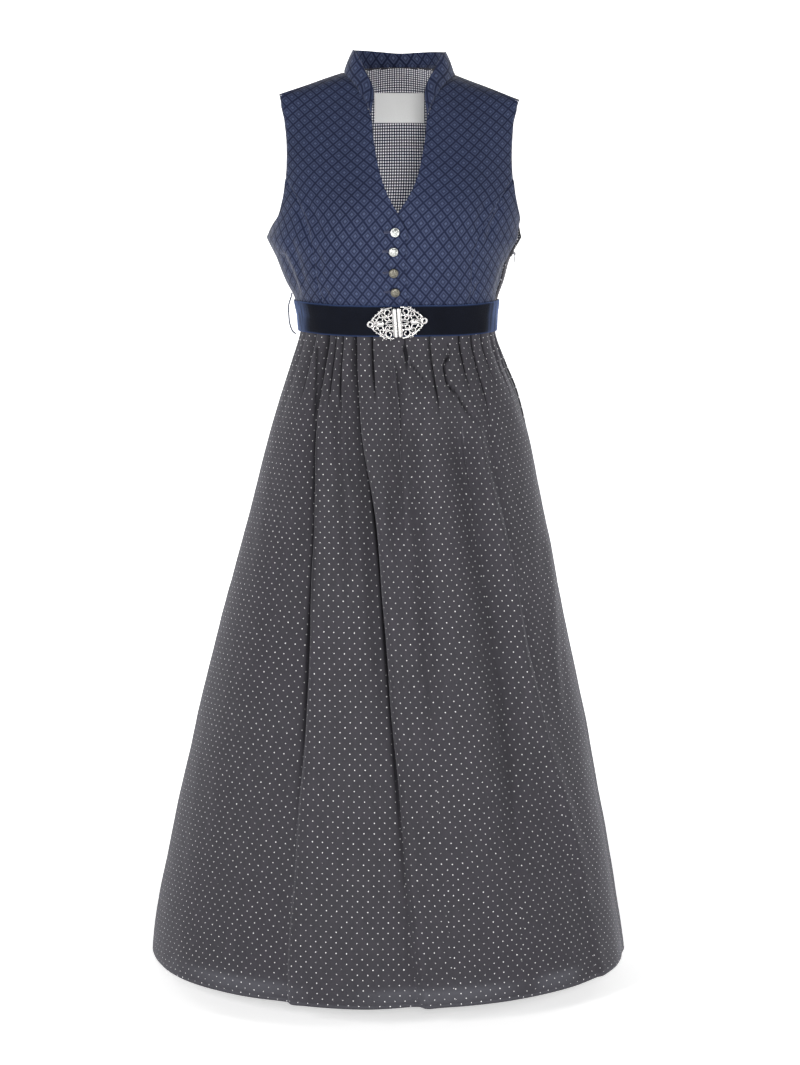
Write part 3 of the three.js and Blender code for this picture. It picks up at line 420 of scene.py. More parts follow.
class Shape:
    """Gathers tubes, balls and lathed forms into one mesh."""

    def __init__(self):
        self.points, self.faces, self.heights, self.count = [], [], [], 0

    def grid(self, points, close_u=True, close_v=False, height=None):
        rows, columns = points.shape[:2]
        index = np.arange(rows * columns).reshape(rows, columns) + self.count
        if close_u:
            index = np.hstack([index, index[:, :1]])
        if close_v:
            index = np.vstack([index, index[:1]])
        quads = np.stack([index[:-1, :-1], index[:-1, 1:], index[1:, 1:], index[1:, :-1]], -1)
        self.faces += quads.reshape(-1, 4).tolist()
        if close_u and not close_v:
            self.faces += [index[0, :-1][::-1].tolist(), index[-1, :-1].tolist()]
        self.points.append(points.reshape(-1, 3))
        self.heights.append(np.full(rows * columns, 1.0) if height is None else height.ravel())
        self.count += rows * columns

    def tube(self, path, radius, sides=8, flat=1.0, facing=(0, 0, 1), closed=False):
        path = np.asarray(path, float)
        radius = np.broadcast_to(np.asarray(radius, float), len(path))
        along = np.roll(path, -1, 0) - np.roll(path, 1, 0) if closed else np.gradient(path, axis=0)
        along /= np.maximum(np.linalg.norm(along, axis=1, keepdims=True), 1e-9)
        side = np.cross(np.asarray(facing, float), along)
        side /= np.maximum(np.linalg.norm(side, axis=1, keepdims=True), 1e-6)
        out = np.cross(along, side)
        a = np.linspace(0, 2 * math.pi, sides, endpoint=False)
        ring = np.cos(a)[None, :, None] * side[:, None] + flat * np.sin(a)[None, :, None] * out[:, None]
        height = np.broadcast_to(0.5 + 0.5 * np.sin(a), (len(path), sides))
        self.grid(path[:, None] + ring * radius[:, None, None], True, closed, height)

    def ball(self, centre, radii, rings=8, sides=12):
        t = np.linspace(0.08, math.pi - 0.08, rings)[:, None]
        a = np.linspace(0, 2 * math.pi, sides, endpoint=False)[None, :]
        unit = np.stack([np.sin(t) * np.cos(a), np.sin(t) * np.sin(a), -np.cos(t) * np.ones_like(a)], -1)
        points = np.asarray(centre, float) + unit * np.asarray(radii, float)
        self.grid(points, True, False, (unit[..., 2] + 1) / 2)

    def lathe(self, profile, sides=32, bumps=None, centre=(0, 0, 0)):
        """Profile rows are radius and height, from the back's middle round to the front's middle."""
        profile = np.asarray(profile, float)
        a = np.linspace(0, 2 * math.pi, sides, endpoint=False)[None, :]
        r = profile[:, :1]
        h = profile[:, 1:] + (bumps(r, a) if bumps else 0 * a)
        pts = np.stack([r * np.cos(a), r * np.sin(a), h], -1) + np.asarray(centre, float)
        self.grid(pts, True, False, np.clip((h - profile[:, 1:]) * 1.6 + 0.5, 0, 1))

    def mesh(self, name, place=None):
        points = np.vstack(self.points)
        points = place(points) if place else points
        mesh = bpy.data.meshes.new(name)
        mesh.from_pydata((points * MM).tolist(), [], self.faces)
        attribute = mesh.attributes.new("height", "FLOAT", "POINT")
        attribute.data.foreach_set("value", np.concatenate(self.heights).astype(np.float32))
        set_smooth(mesh)
        return mesh


# Materials
class Graph:
    """A material's nodes, built by short calls that return sockets."""

    def __init__(self, name, **values):
        self.material = bpy.data.materials.new(name)
        self.material.use_nodes = True
        self.tree = self.material.node_tree
        self.shader = next(n for n in self.tree.nodes if n.type == "BSDF_PRINCIPLED")
        for key, value in values.items():
            self.shader.inputs[key.replace("_", " ")].default_value = value

    def node(self, kind, *inputs, **settings):
        made = self.tree.nodes.new("ShaderNode" + kind)
        for key, value in settings.items():
            setattr(made, key, value)
        for i, value in enumerate(inputs):
            if value is None:
                continue
            if isinstance(value, bpy.types.NodeSocket):
                self.tree.links.new(value, made.inputs[i])
            else:
                made.inputs[i].default_value = value
        return made

    def math(self, operation, *inputs):
        return self.node("Math", *inputs, operation=operation).outputs[0]

    def attribute(self, name):
        return self.node("Attribute", attribute_name=name).outputs["Fac"]

    def uv(self):
        made = self.node("SeparateXYZ", self.node("UVMap", uv_map="cloth").outputs[0])
        return made.outputs[0], made.outputs[1]

    def noise(self, scale, detail=2.0, vector=None, stretch=None):
        where = vector or self.node("TexCoord").outputs["Object"]
        if stretch:
            where = self.node("Mapping", where, (0, 0, 0), (0, 0, 0), stretch).outputs[0]
        made = self.node("TexNoise", where)
        made.inputs["Scale"].default_value = scale
        made.inputs["Detail"].default_value = detail
        return made.outputs[0]

    def ramp(self, value, *stops):
        made = self.node("ValToRGB", value)
        elements = made.color_ramp.elements
        while len(elements) < len(stops):
            elements.new(0.5)
        for element, (position, colour) in zip(elements, stops):
            element.position = position
            element.color = tuple(colour) + (1,) if len(colour) == 3 else colour
        return made.outputs[0]

    def mix(self, factor, a, b, blend="MIX"):
        made = self.node("Mix", data_type="RGBA", blend_type=blend)
        for i, value in ((0, factor), (6, a), (7, b)):
            if isinstance(value, bpy.types.NodeSocket):
                self.tree.links.new(value, made.inputs[i])
            elif i == 0:
                made.inputs[i].default_value = value
            else:
                made.inputs[i].default_value = tuple(value) + (1,)
        return made.outputs[2]

    def span(self, value, low, high, new_low=0.0, new_high=1.0):
        return self.node("MapRange", value, low, high, new_low, new_high).outputs[0]

    def set(self, key, socket):
        self.tree.links.new(socket, self.shader.inputs[key])

    def bump(self, height, distance, strength=1.0, over=None):
        made = self.node("Bump")
        made.inputs["Strength"].default_value = strength
        made.inputs["Distance"].default_value = distance
        self.tree.links.new(height, made.inputs["Height"])
        if over:
            self.tree.links.new(over, made.inputs["Normal"])
        return made.outputs[0]


def srgb(r, g, b):
    out = []
    for c in (r, g, b):
        c /= 255
        out.append(c / 12.92 if c <= 0.04045 else ((c + 0.055) / 1.055) ** 2.4)
    return tuple(out)


def weave(g, u, v, pitch):
    """Threads over and under each other, as a height from 0 to 1."""
    a = g.math("SINE", g.math("MULTIPLY", u, 2 * math.pi / pitch))
    b = g.math("SINE", g.math("MULTIPLY", v, 2 * math.pi / pitch))
    return g.span(g.math("MULTIPLY", a, b), -1, 1)


def jacquard_material(name, dark, light, gleam):
    g = Graph(name, Roughness=0.6, Specular_IOR_Level=0.12, Sheen_Weight=0.2, Sheen_Roughness=0.4)
    u, v = g.uv()
    a = g.math("DIVIDE", u, DIAMOND[0])
    b = g.math("DIVIDE", v, DIAMOND[1])
    ramps = []
    for side in (g.math("ADD", a, b), g.math("SUBTRACT", a, b)):
        away = g.math("ABSOLUTE", g.math("SUBTRACT", g.math("FRACT", side), 0.5))
        ramps.append(g.math("MULTIPLY", away, 2.0))
    edge_near = g.math("MAXIMUM", ramps[0], ramps[1])
    fibres = g.noise(2600, 3.0, stretch=(1, 1, 0.35))
    edge_rough = g.math("ADD", edge_near, g.span(fibres, 0.3, 0.7, -0.07, 0.07))
    low = [c * 0.3 + d * 0.7 for c, d in zip(light, dark)]
    figure = g.ramp(
        edge_rough,
        (0.0, gleam), (0.2, gleam), (0.3, low), (0.5, low),
        (0.56, light), (0.76, light), (0.83, dark), (1.0, dark),
    )
    patches = g.noise(14, 3.0)
    colour = g.mix(g.span(patches, 0.3, 0.7, 0.0, 0.35), figure, tuple(c * 0.78 for c in light), "MULTIPLY")
    toned = g.mix(g.span(fibres, 0.3, 0.75, 0.0, 0.2), figure, gleam)
    g.set("Base Color", g.mix(g.span(patches, 0.35, 0.65, 0.0, 0.3), toned, colour))
    satin = g.ramp(edge_rough, (0.0, (0.6,) * 3), (0.7, (0.6,) * 3), (0.8, (0.8,) * 3))
    g.set("Roughness", satin)
    threads = weave(g, u, v, 0.0011)
    raised = g.ramp(edge_rough, (0.0, (1,) * 3), (0.7, (1,) * 3), (0.82, (0.2,) * 3), (1.0, (0,) * 3))
    first = g.bump(raised, 0.00022, 0.7)
    g.set("Normal", g.bump(g.math("ADD", threads, fibres), 0.00012, 0.5, first))
    return g.material


def dotted_material():
    gloss = {"Specular_IOR_Level": 0.12, "Sheen_Weight": 0.22, "Sheen_Roughness": 0.4}
    g = Graph("dotted_cotton", Roughness=0.86, **gloss)
    g.shader.inputs["Sheen Tint"].default_value = (0.75, 0.75, 0.82, 1)
    u, v = g.uv()
    nearest = None
    wobble = g.span(g.noise(600, 1.0), 0.3, 0.7, -0.02, 0.02)
    for shift in (0.0, 0.5):
        parts = []
        for c in (u, v):
            cell = g.math("FRACT", g.math("ADD", g.math("DIVIDE", c, DOT_PERIOD), shift))
            offset = g.math("SUBTRACT", cell, 0.5)
            parts.append(g.math("MULTIPLY", offset, offset))
        away = g.math("SQRT", g.math("ADD", parts[0], parts[1]))
        nearest = g.math("MINIMUM", nearest, away) if nearest else away
    radius = DOT_RADIUS / DOT_PERIOD
    dot = g.span(g.math("ADD", nearest, wobble), radius + 0.008, radius - 0.008)
    # Painted shade in the creases and slits: the dots fade out there and the ground darkens towards near
    # black.
    dot = g.math("MULTIPLY", dot, g.math("SUBTRACT", 1.0, g.attribute("crease_shade")))
    fibres = g.noise(2400, 3.0)
    melange = g.noise(90, 4.0, stretch=(1, 1, 0.4))
    patches = g.noise(7, 3.0)
    greys = ((0.0, srgb(53, 52, 56)), (0.5, srgb(56, 55, 59)), (1.0, srgb(59, 57, 62)))
    ground = g.ramp(g.span(melange, 0.3, 0.7), *greys)
    ground = g.mix(g.span(fibres, 0.35, 0.7, 0, 0.35), ground, srgb(70, 68, 74))
    ground = g.mix(g.span(patches, 0.35, 0.65, 0, 0.3), ground, srgb(58, 55, 62))
    ground = g.mix(g.math("MULTIPLY", g.attribute("crease_shade"), 0.9), ground, srgb(21, 20, 24))
    # Lighter in patches along the hem's turning and at its edge.
    ground = g.mix(g.attribute("hem_lighter"), ground, srgb(80, 80, 86))
    g.set("Base Color", g.mix(dot, ground, srgb(252, 251, 252)))
    first = g.bump(dot, 0.0001, 0.6)
    g.set("Normal", g.bump(g.math("ADD", weave(g, u, v, 0.0009), fibres), 0.00012, 0.5, first))
    return g.material


def gingham_material():
    g = Graph("gingham", Roughness=0.85, Specular_IOR_Level=0.2, Sheen_Weight=0.1)
    u, v = g.uv()
    stripes = []
    for c, repeat in zip((u, v), CHECK):
        cell = g.math("FRACT", g.math("DIVIDE", c, repeat))
        wave = g.math("ABSOLUTE", g.math("SUBTRACT", cell, 0.5))
        stripes.append(g.span(wave, 0.24, 0.3))
    both = g.math("MULTIPLY", g.math("ADD", stripes[0], stripes[1]), 0.5)
    fibres = g.noise(2600, 3.0)
    tone = g.math("ADD", both, g.span(fibres, 0.3, 0.7, -0.08, 0.08))
    checks = ((0.0, srgb(252, 252, 254)), (0.5, srgb(58, 62, 88)), (1.0, srgb(8, 10, 22)))
    g.set("Base Color", g.ramp(tone, *checks))
    g.set("Normal", g.bump(g.math("ADD", weave(g, u, v, 0.0008), fibres), 0.0001, 0.5))
    return g.material


def velvet_material():
    g = Graph("velvet", Roughness=0.6, Specular_IOR_Level=0.06, Sheen_Weight=0.25, Sheen_Roughness=0.2)
    g.shader.inputs["Sheen Tint"].default_value = (0.25, 0.42, 0.8, 1)
    pile = g.noise(3800, 2.0)
    nap = g.noise(45, 3.0, stretch=(1, 1, 0.25))
    base = g.ramp(g.span(nap, 0.3, 0.7), (0.0, srgb(3, 4, 8)), (1.0, srgb(6, 8, 15)))
    base = g.mix(g.span(pile, 0.4, 0.75, 0, 0.35), base, srgb(24, 32, 54))
    # Painted sheen: where the pile is seen from the side its colour turns bright blue in streaks. The
    # ribbon's woven rims are lighter blue all along.
    turned_away = g.node("LayerWeight", 0.5).outputs["Facing"]
    strokes = g.noise(170, 2.0, stretch=(1, 1, 0.06))
    from_side = g.span(turned_away, 0.42, 0.95, 0.0, 0.85)
    painted_sheen = g.math("MULTIPLY", from_side, g.span(strokes, 0.35, 0.65, 0.35, 1.4))
    base = g.mix(painted_sheen, base, srgb(84, 104, 150))
    g.set("Base Color", g.mix(g.math("MULTIPLY", g.attribute("rim"), 0.7), base, srgb(46, 62, 100)))
    first = g.bump(nap, 0.0006, 0.35)
    g.set("Normal", g.bump(pile, 0.0003, 0.5, first))
    return g.material


def metal_material(name, bright, hollow_oxide_and_shade, roughness, oxide_and_shade_reach):
    g = Graph(name, Metallic=1.0)
    # Lower parts, in the hollows and under the wires and balls, are darker: partly oxide in the hollows,
    # partly painted shade.
    height = g.attribute("height")
    wear_and_shade = g.math("ADD", height, g.span(g.noise(420, 3.0), 0.3, 0.7, -0.2, 0.2))
    mask = g.span(wear_and_shade, 0.05, oxide_and_shade_reach)
    g.set("Base Color", g.mix(mask, hollow_oxide_and_shade, bright))
    g.set("Roughness", g.span(g.noise(900, 2.0), 0.3, 0.7, roughness * 0.75, roughness * 1.4))
    g.set("Normal", g.bump(g.noise(700, 3.0), 0.0001, 0.35))
    return g.material


def plain_material(name, colour, other, scale, roughness, distance, **values):
    g = Graph(name, Roughness=roughness, **values)
    fibres = g.noise(scale, 3.0)
    g.set("Base Color", g.mix(g.span(fibres, 0.3, 0.7), colour, other))
    g.set("Normal", g.bump(fibres, distance, 0.6))
    return g.material


def satin_material():
    g = Graph("label_satin", Roughness=0.42, Specular_IOR_Level=0.5, Sheen_Weight=0.2)
    u, v = g.uv()
    ribs = g.math("SINE", g.math("MULTIPLY", v, 2 * math.pi / 0.0006))
    fibres = g.noise(1800, 2.0)
    g.set("Base Color", g.mix(g.span(fibres, 0.3, 0.7), srgb(238, 238, 236), srgb(248, 248, 247)))
    g.set("Normal", g.bump(g.math("ADD", ribs, fibres), 0.00006, 0.5))
    return g.material


jacquard = jacquard_material("jacquard", srgb(13, 19, 43), srgb(50, 58, 84), srgb(66, 75, 102))
dotted = dotted_material()
dotted_inside = plain_material(
    "dotted_wrong_side", srgb(52, 50, 57), srgb(70, 68, 76), 1600, 0.9, 0.0002, Sheen_Weight=0.2
)
gingham = gingham_material()
velvet = velvet_material()
velvet_back = plain_material("velvet_wrong_side", srgb(20, 26, 44), srgb(34, 42, 66), 1800, 0.7, 0.0002)
silver = metal_material("silver", (0.64, 0.63, 0.62), (0.07, 0.07, 0.07), 0.24, 0.62)
pewter = metal_material("pewter", (0.5, 0.51, 0.49), (0.08, 0.08, 0.08), 0.3, 0.75)
bronzed = metal_material("bronzed_pewter", (0.19, 0.18, 0.15), (0.05, 0.045, 0.04), 0.34, 0.8)
enamel = metal_material("zip_enamel", (0.2, 0.2, 0.22), (0.08, 0.08, 0.09), 0.35, 0.5)
satin = satin_material()
navy_thread = plain_material(
    "navy_thread", srgb(28, 34, 66), srgb(48, 56, 92), 2200, 0.7, 0.0002, Sheen_Weight=0.2
)
white_thread = plain_material("white_thread", srgb(226, 226, 224), srgb(245, 245, 244), 2200, 0.6, 0.0002)

# Bodice pattern lines: x from the centre and z, each from its lower end. RIDGE is the shoulder seam's height.
RIDGE = 1e6
V_EDGE = [(0, V_BOTTOM), (19.9, -132), (34.5, -71), (36.6, -45)]
COLLAR_SEAM = [(36.6, -45), (45, -24), (58, -3), (NECK_HALF_WIDTH, RIDGE)]
PRINCESS = [(96, WAIST), (101, -284), (113, -205), (137, -152), (155, -124)]
ARMHOLE_ABOVE = [(155, -124), (154, -100), (154.5, -72), (157.5, -46), (164, RIDGE)]
ARMHOLE_BELOW = [(171, ARMPIT), (163.5, -180), (158, -155), (155, -124)]
ARMHOLE_BELOW_RIGHT = [(168, -181), (163, -165), (158, -147), (155, -124)]
ARMHOLE_BACK = [(171, ARMPIT), (159, -170), (153, -125), (153, -78), (157, -44), (164, RIDGE)]
BACK_NECK = [(NECK_HALF_WIDTH, 16.5), (62, 20.5), (36, 23.5), (0, 24.5)]


def spots_of(rows, side=1, is_back=False):
    return [bodice_spot(side * x, z, is_back) for x, z in rows]


# The bodice developed: how far each spot is round from the centre front, and up from the waist.
ANGLES = np.arange(-100, 281, 1.0)
LEVELS = np.concatenate([np.arange(WAIST, SHOULDER_RIDGE, 2.0), [SHOULDER_RIDGE]])
surface = bodice_point(ANGLES[None, :], LEVELS[:, None])
round_from_start = lengths(surface, 1)
ROUND = round_from_start - round_from_start[:, [100]]
UP = lengths(surface, 0)


def develop(angle, level, centre=0):
    """Where spots lie in the flat cloth, in metres, straight up the thread line at the centre angle."""
    i = np.clip((angle - ANGLES[0]), 0, len(ANGLES) - 1.001)
    j = np.interp(level, LEVELS, np.arange(len(LEVELS)))
    j = np.clip(j, 0, len(LEVELS) - 1.001)
    i0, j0 = i.astype(int), j.astype(int)
    fi, fj = i - i0, j - j0
    out = []
    for table in (ROUND - ROUND[:, [centre - int(ANGLES[0])]], UP):
        low = table[j0, i0] * (1 - fi) + table[j0, i0 + 1] * fi
        high = table[j0 + 1, i0] * (1 - fi) + table[j0 + 1, i0 + 1] * fi
        out.append((low * (1 - fj) + high * fj) * MM)
    return np.stack(out, -1)


def eased(uv):
    """Above the bust the fronts' cloth is pulled across, so its diamonds are broader and flatter there."""
    over = np.maximum(uv[..., 1] - 0.150, 0)
    broad = 1 - 0.09 * smooth(over, 0, 0.08)
    return np.stack([uv[..., 0] * broad / 1.02, uv[..., 1] / 1.03 + 0.24 * over**2 / (over + 0.03)], -1)


def turned(uv, degrees, shift=(0, 0)):
    a = math.radians(degrees)
    u = uv[..., 0] * math.cos(a) - uv[..., 1] * math.sin(a) + shift[0]
    v = uv[..., 0] * math.sin(a) + uv[..., 1] * math.cos(a) + shift[1]
    return np.stack([u, v], -1)


def near_edges(points, left=True, right=True):
    """Distance in millimetres along the rows from the nearer marked edge."""
    run = lengths(points, 1)
    away = np.full(run.shape, 1e3)
    if left:
        away = np.minimum(away, run)
    if right:
        away = np.minimum(away, run[:, -1:] - run)
    return away


def lines_away(points, path):
    """Signed distance in the front view from a path of x, z points, and how far along it, from 0 to 1."""
    path = np.asarray(path, float)
    run = np.concatenate([[0], np.cumsum(np.linalg.norm(np.diff(path, axis=0), axis=1))])
    flat = points[..., [0, 2]]
    best = np.full(flat.shape[:-1], 1e9)
    signed = np.full(flat.shape[:-1], 1e9)
    along = np.zeros(flat.shape[:-1])
    for i, (p, q) in enumerate(zip(path, path[1:])):
        d = q - p
        t = np.clip(((flat - p) @ d) / (d @ d), 0, 1)
        gap = flat - (p + t[..., None] * d)
        away = np.linalg.norm(gap, axis=-1)
        side = np.sign(d[0] * gap[..., 1] - d[1] * gap[..., 0])
        closer = away < best
        best = np.where(closer, away, best)
        signed = np.where(closer, away * side, signed)
        along = np.where(closer, (run[i] + t * (run[i + 1] - run[i])) / run[-1], along)
    return signed, along


def creased(points, out, creases):
    """Adds creases: a path, depth, the widths of its left and right sides looking down it, and its lap."""
    total = np.zeros(points.shape[:-1])
    lapped = np.zeros(points.shape[:-1])
    for path, depth, left, right, lip in creases:
        signed, along = lines_away(points, path)
        ends = smooth(along, 0, 0.12) * (1 - smooth(along, 0.72, 1))
        total -= depth * ends * np.exp(-((signed / np.where(signed > 0, right, left)) ** 2))
        if lip:
            lapped += lip * ends * np.exp(-(((signed - 0.9 * right) / (0.8 * right)) ** 2))
    moved = points + out * total[..., None]
    moved[..., 0] -= lapped
    return moved


LEFT_CREASES = [
    ([(-163, -222), (-148, -252), (-136, -290)], 3.4, 7, 4, 0),
    ([(-150, -200), (-137, -240), (-127, -280)], 2.2, 6, 5, 0),
    ([(-140, -160), (-128, -188), (-122, -214)], 2.2, 4, 4, 0),
    ([(-128, -150), (-113, -176), (-104, -204)], 1.9, 4, 5, 0),
    ([(-117, -205), (-108, -232), (-104, -262)], 1.8, 5, 4, 0),
    ([(-104, -268), (-97, -282), (-94, -292)], 1.8, 4, 3, 0),
]
RIGHT_CREASES = [
    ([(146, -236), (137, -262), (131, -290)], 2.3, 5, 6, 0),
    ([(137, -158), (124, -184), (117, -212)], 2.0, 4, 4, 0),
    ([(120, -148), (108, -172), (101, -200)], 1.7, 4, 5, 0),
    ([(108, -262), (102, -278), (99, -290)], 1.8, 4, 3, 0),
    ([(40, -276), (46, -284), (52, -291)], 0.8, 3, 4, 0),
]


def bodice_normals(grid):
    """Outward normals, the same on both sides of a seam."""
    angle, level = grid[..., 0], grid[..., 1]
    across = bodice_point(angle + 0.1, level) - bodice_point(angle - 0.1, level)
    up = bodice_point(angle, level + 0.1) - bodice_point(angle, level - 0.1)
    n = np.cross(across, up)
    return n / np.linalg.norm(n, axis=-1, keepdims=True)


def seam_groove(points, left, right):
    """How far the cloth sinks at its seams. The side seams end at the armholes."""
    below = 1 - smooth(points[..., 2], ARMPIT - 4, ARMPIT + 14)
    away = [near_edges(points, True, False), near_edges(points, False, True)]
    shares = (left or below, right or below)
    return sum(-1.1 * share * np.exp(-((a / 2.2) ** 2)) for a, share in zip(away, shares))


def shaped_bodice(points, out, seam_left, seam_right, creases, neck_seam):
    away = near_edges(points, seam_left, seam_right)
    up = lengths(points, 0)
    ripple = np.sin(up / 2.1 + 1.7 * np.sin(up / 9.0)) * np.exp(-away / 9.0)
    busy = 0.35 + 0.65 * smooth(points[..., 2], -300, -230) * (1 - smooth(points[..., 2], -150, -110))
    move = seam_groove(points, seam_left, seam_right) + 0.32 * ripple * busy * (away < 60)
    if neck_seam:
        collar_side = near_edges(points, neck_seam < 0, neck_seam > 0)
        move = move - 1.0 * np.exp(-((collar_side / 2) ** 2)) * smooth(points[..., 2], -50, -40)
    move = move + 0.5 * noise(points, 75, 3)
    return creased(points + out * move[..., None], out, creases)


def centre_front(side, lap, lift):
    fine = 8
    foot = spots_of([(-lap, WAIST), (-lap, V_BOTTOM - 1.1 * lap)], side)
    inner = edge(
        (7 * fine, foot),
        (4 * fine, [foot[1]] + spots_of(V_EDGE[1:], side)),
        (4 * fine, spots_of(COLLAR_SEAM, side)),
    )
    outer = edge((9 * fine, spots_of(PRINCESS, side)), (6 * fine, spots_of(ARMHOLE_ABOVE, side)))
    grid = between(inner, outer, 64) if side > 0 else between(outer, inner, 64)
    angle, level = grid[..., 0], grid[..., 1]
    lapped = np.where(side * angle < 0, 1, 1 - smooth(np.abs(angle), 7, 26))
    up = lift * lapped * (1 - smooth(level, V_BOTTOM - 20, -90))
    return grid, bodice_point(angle, level, up), develop(angle, level)


def side_front(side, seam_angle, armhole):
    fine = 8
    rim = spots_of(armhole, side)
    foot = (side * seam_angle, WAIST)
    outer = edge((5 * fine, [foot, (foot[0], -260), rim[0]]), (4 * fine, rim))
    princess = edge((9 * fine, spots_of(PRINCESS, side)))
    outer[-1] = outer[-2] * 0.2 + outer[-1] * 0.8
    grid = between(princess, outer, 44) if side > 0 else between(outer, princess, 44)
    return grid, bodice_point(grid[..., 0], grid[..., 1]), develop(grid[..., 0], grid[..., 1])


def ridge_spot(side, x):
    return (180 - side * math.degrees(math.asin(x / float(bodice["width"](SHOULDER_RIDGE)))), SHOULDER_RIDGE)


def back_grid(fine):
    zip_top = (RIGHT_SEAM_ANGLE, ZIP_TOP - 4)
    right_top = (89, ARMPIT)
    right = edge(
        (3 * fine, [(RIGHT_SEAM_ANGLE, WAIST), zip_top]),
        (2 * fine, [zip_top, right_top]),
        (7 * fine, [right_top] + spots_of(ARMHOLE_BACK[1:-1], 1, True) + [ridge_spot(1, 164)]),
    )
    left = edge(
        (5 * fine, [(270, WAIST)] + spots_of([ARMHOLE_BACK[0]], -1, True)),
        (7 * fine, spots_of(ARMHOLE_BACK[:-1], -1, True) + [ridge_spot(-1, 164)]),
    )
    neck = spline(BACK_NECK, 3 * fine)
    shoulder = [ridge_spot(1, x) for x in np.linspace(164, NECK_HALF_WIDTH, 6 * fine, endpoint=False)]
    half = shoulder + [bodice_spot(x, z, True) for x, z in neck]
    other = [ridge_spot(-1, x) for x in np.linspace(164, NECK_HALF_WIDTH, 6 * fine, endpoint=False)]
    other += [bodice_spot(-x, z, True) for x, z in neck[:-1]]
    top = np.array(half + other[::-1])
    straight = between(right, left, 18 * fine)
    bend = smooth(np.linspace(0, 1, len(straight)), 0.4, 1)[:, None, None]
    return straight + bend * (top - straight[-1])[None]


def build_bodice():
    pieces = []
    right_side = side_front(1, RIGHT_SEAM_ANGLE, ARMHOLE_BELOW_RIGHT)
    jobs = (
        ("front_left", centre_front(-1, PLACKET_OVERLAP, PLACKET_LIFT), (1, 0), LEFT_CREASES, 0, (0.0031, 0)),
        ("front_right", centre_front(1, PLACKET_UNDERLAP, 0.0), (0, 1), RIGHT_CREASES, 0, (0, 0.004)),
        ("side_front_left", side_front(-1, 90, ARMHOLE_BELOW), (0, 1), LEFT_CREASES, 5, (0.006, 0.002)),
        ("side_front_right", right_side, (1, 0), RIGHT_CREASES, -5, (0.002, 0.007)),
    )
    for name, (grid, points, uv), seams, creases, turn, shift in jobs:
        neck_seam = {"front_left": 1, "front_right": -1}.get(name, 0)
        points = shaped_bodice(points, bodice_normals(grid), seams[0], seams[1], creases, neck_seam)
        flat = turned(eased(uv), turn, shift)
        obj = cloth("cloth_" + name, points, flat, 1.3, [jacquard, gingham])
        pieces.append((obj, uv, name))
    grid = back_grid(5)
    base = bodice_point(grid[..., 0], grid[..., 1])
    uv = develop(grid[..., 0], grid[..., 1], 180)
    out = bodice_normals(grid)
    # Two long darts shape the back from the shoulder blades to the waist.
    darts = np.zeros(base.shape[:-1])
    for x in (-62, 56):
        off = (base[..., 0] - x) / 2.2
        fade = 1 - smooth(base[..., 2], -170, -120)
        darts -= np.exp(-(off**2)) * fade * (np.abs(grid[..., 0] - 180) < 70)
    points = base + out * (darts + seam_groove(base, 0, 0) + 0.5 * noise(base, 75, 3))[..., None]
    plain = {"crease_shade": np.zeros(points.shape[:-1]), "hem_lighter": np.zeros(points.shape[:-1])}
    obj = cloth("cloth_back", points, uv, 1.3, [dotted, dotted], plain)
    pieces.append((obj, uv, "back"))
    inside = points - out * 2.3
    inside[-1, :, 2] -= 0.8
    obj = cloth("cloth_back_lining", inside, uv, 0.7, [gingham, gingham])
    pieces.append((obj, uv, "back_lining"))
    for obj, uv, node in pieces:
        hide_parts(node)
        spread = uv.reshape(-1, 2).max(0) - uv.reshape(-1, 2).min(0)
        flat = (float(spread[0]), float(spread[1]))


# The collar: a band from one tip of the neckline round the back of the neck to the other.
COLLAR_FREE_EDGE = [
    (37.6, -67, -43),
    (35.6, -47, -2),
    (47, -29, 21),
    (60.5, -7, 44),
    (63, 12, COLLAR_TOP),
    (50, 38, COLLAR_TOP - 0.5),
    (24, 53, COLLAR_TOP - 1),
    (0, 56, COLLAR_TOP - 2),
]
COLLAR_LEFT_HIGHER = 2.4


def curve_at(stops, shares):
    fine = spline(stops, 1200)
    return np.stack([np.interp(shares, np.linspace(0, 1, len(fine)), fine[:, j]) for j in range(3)], -1)


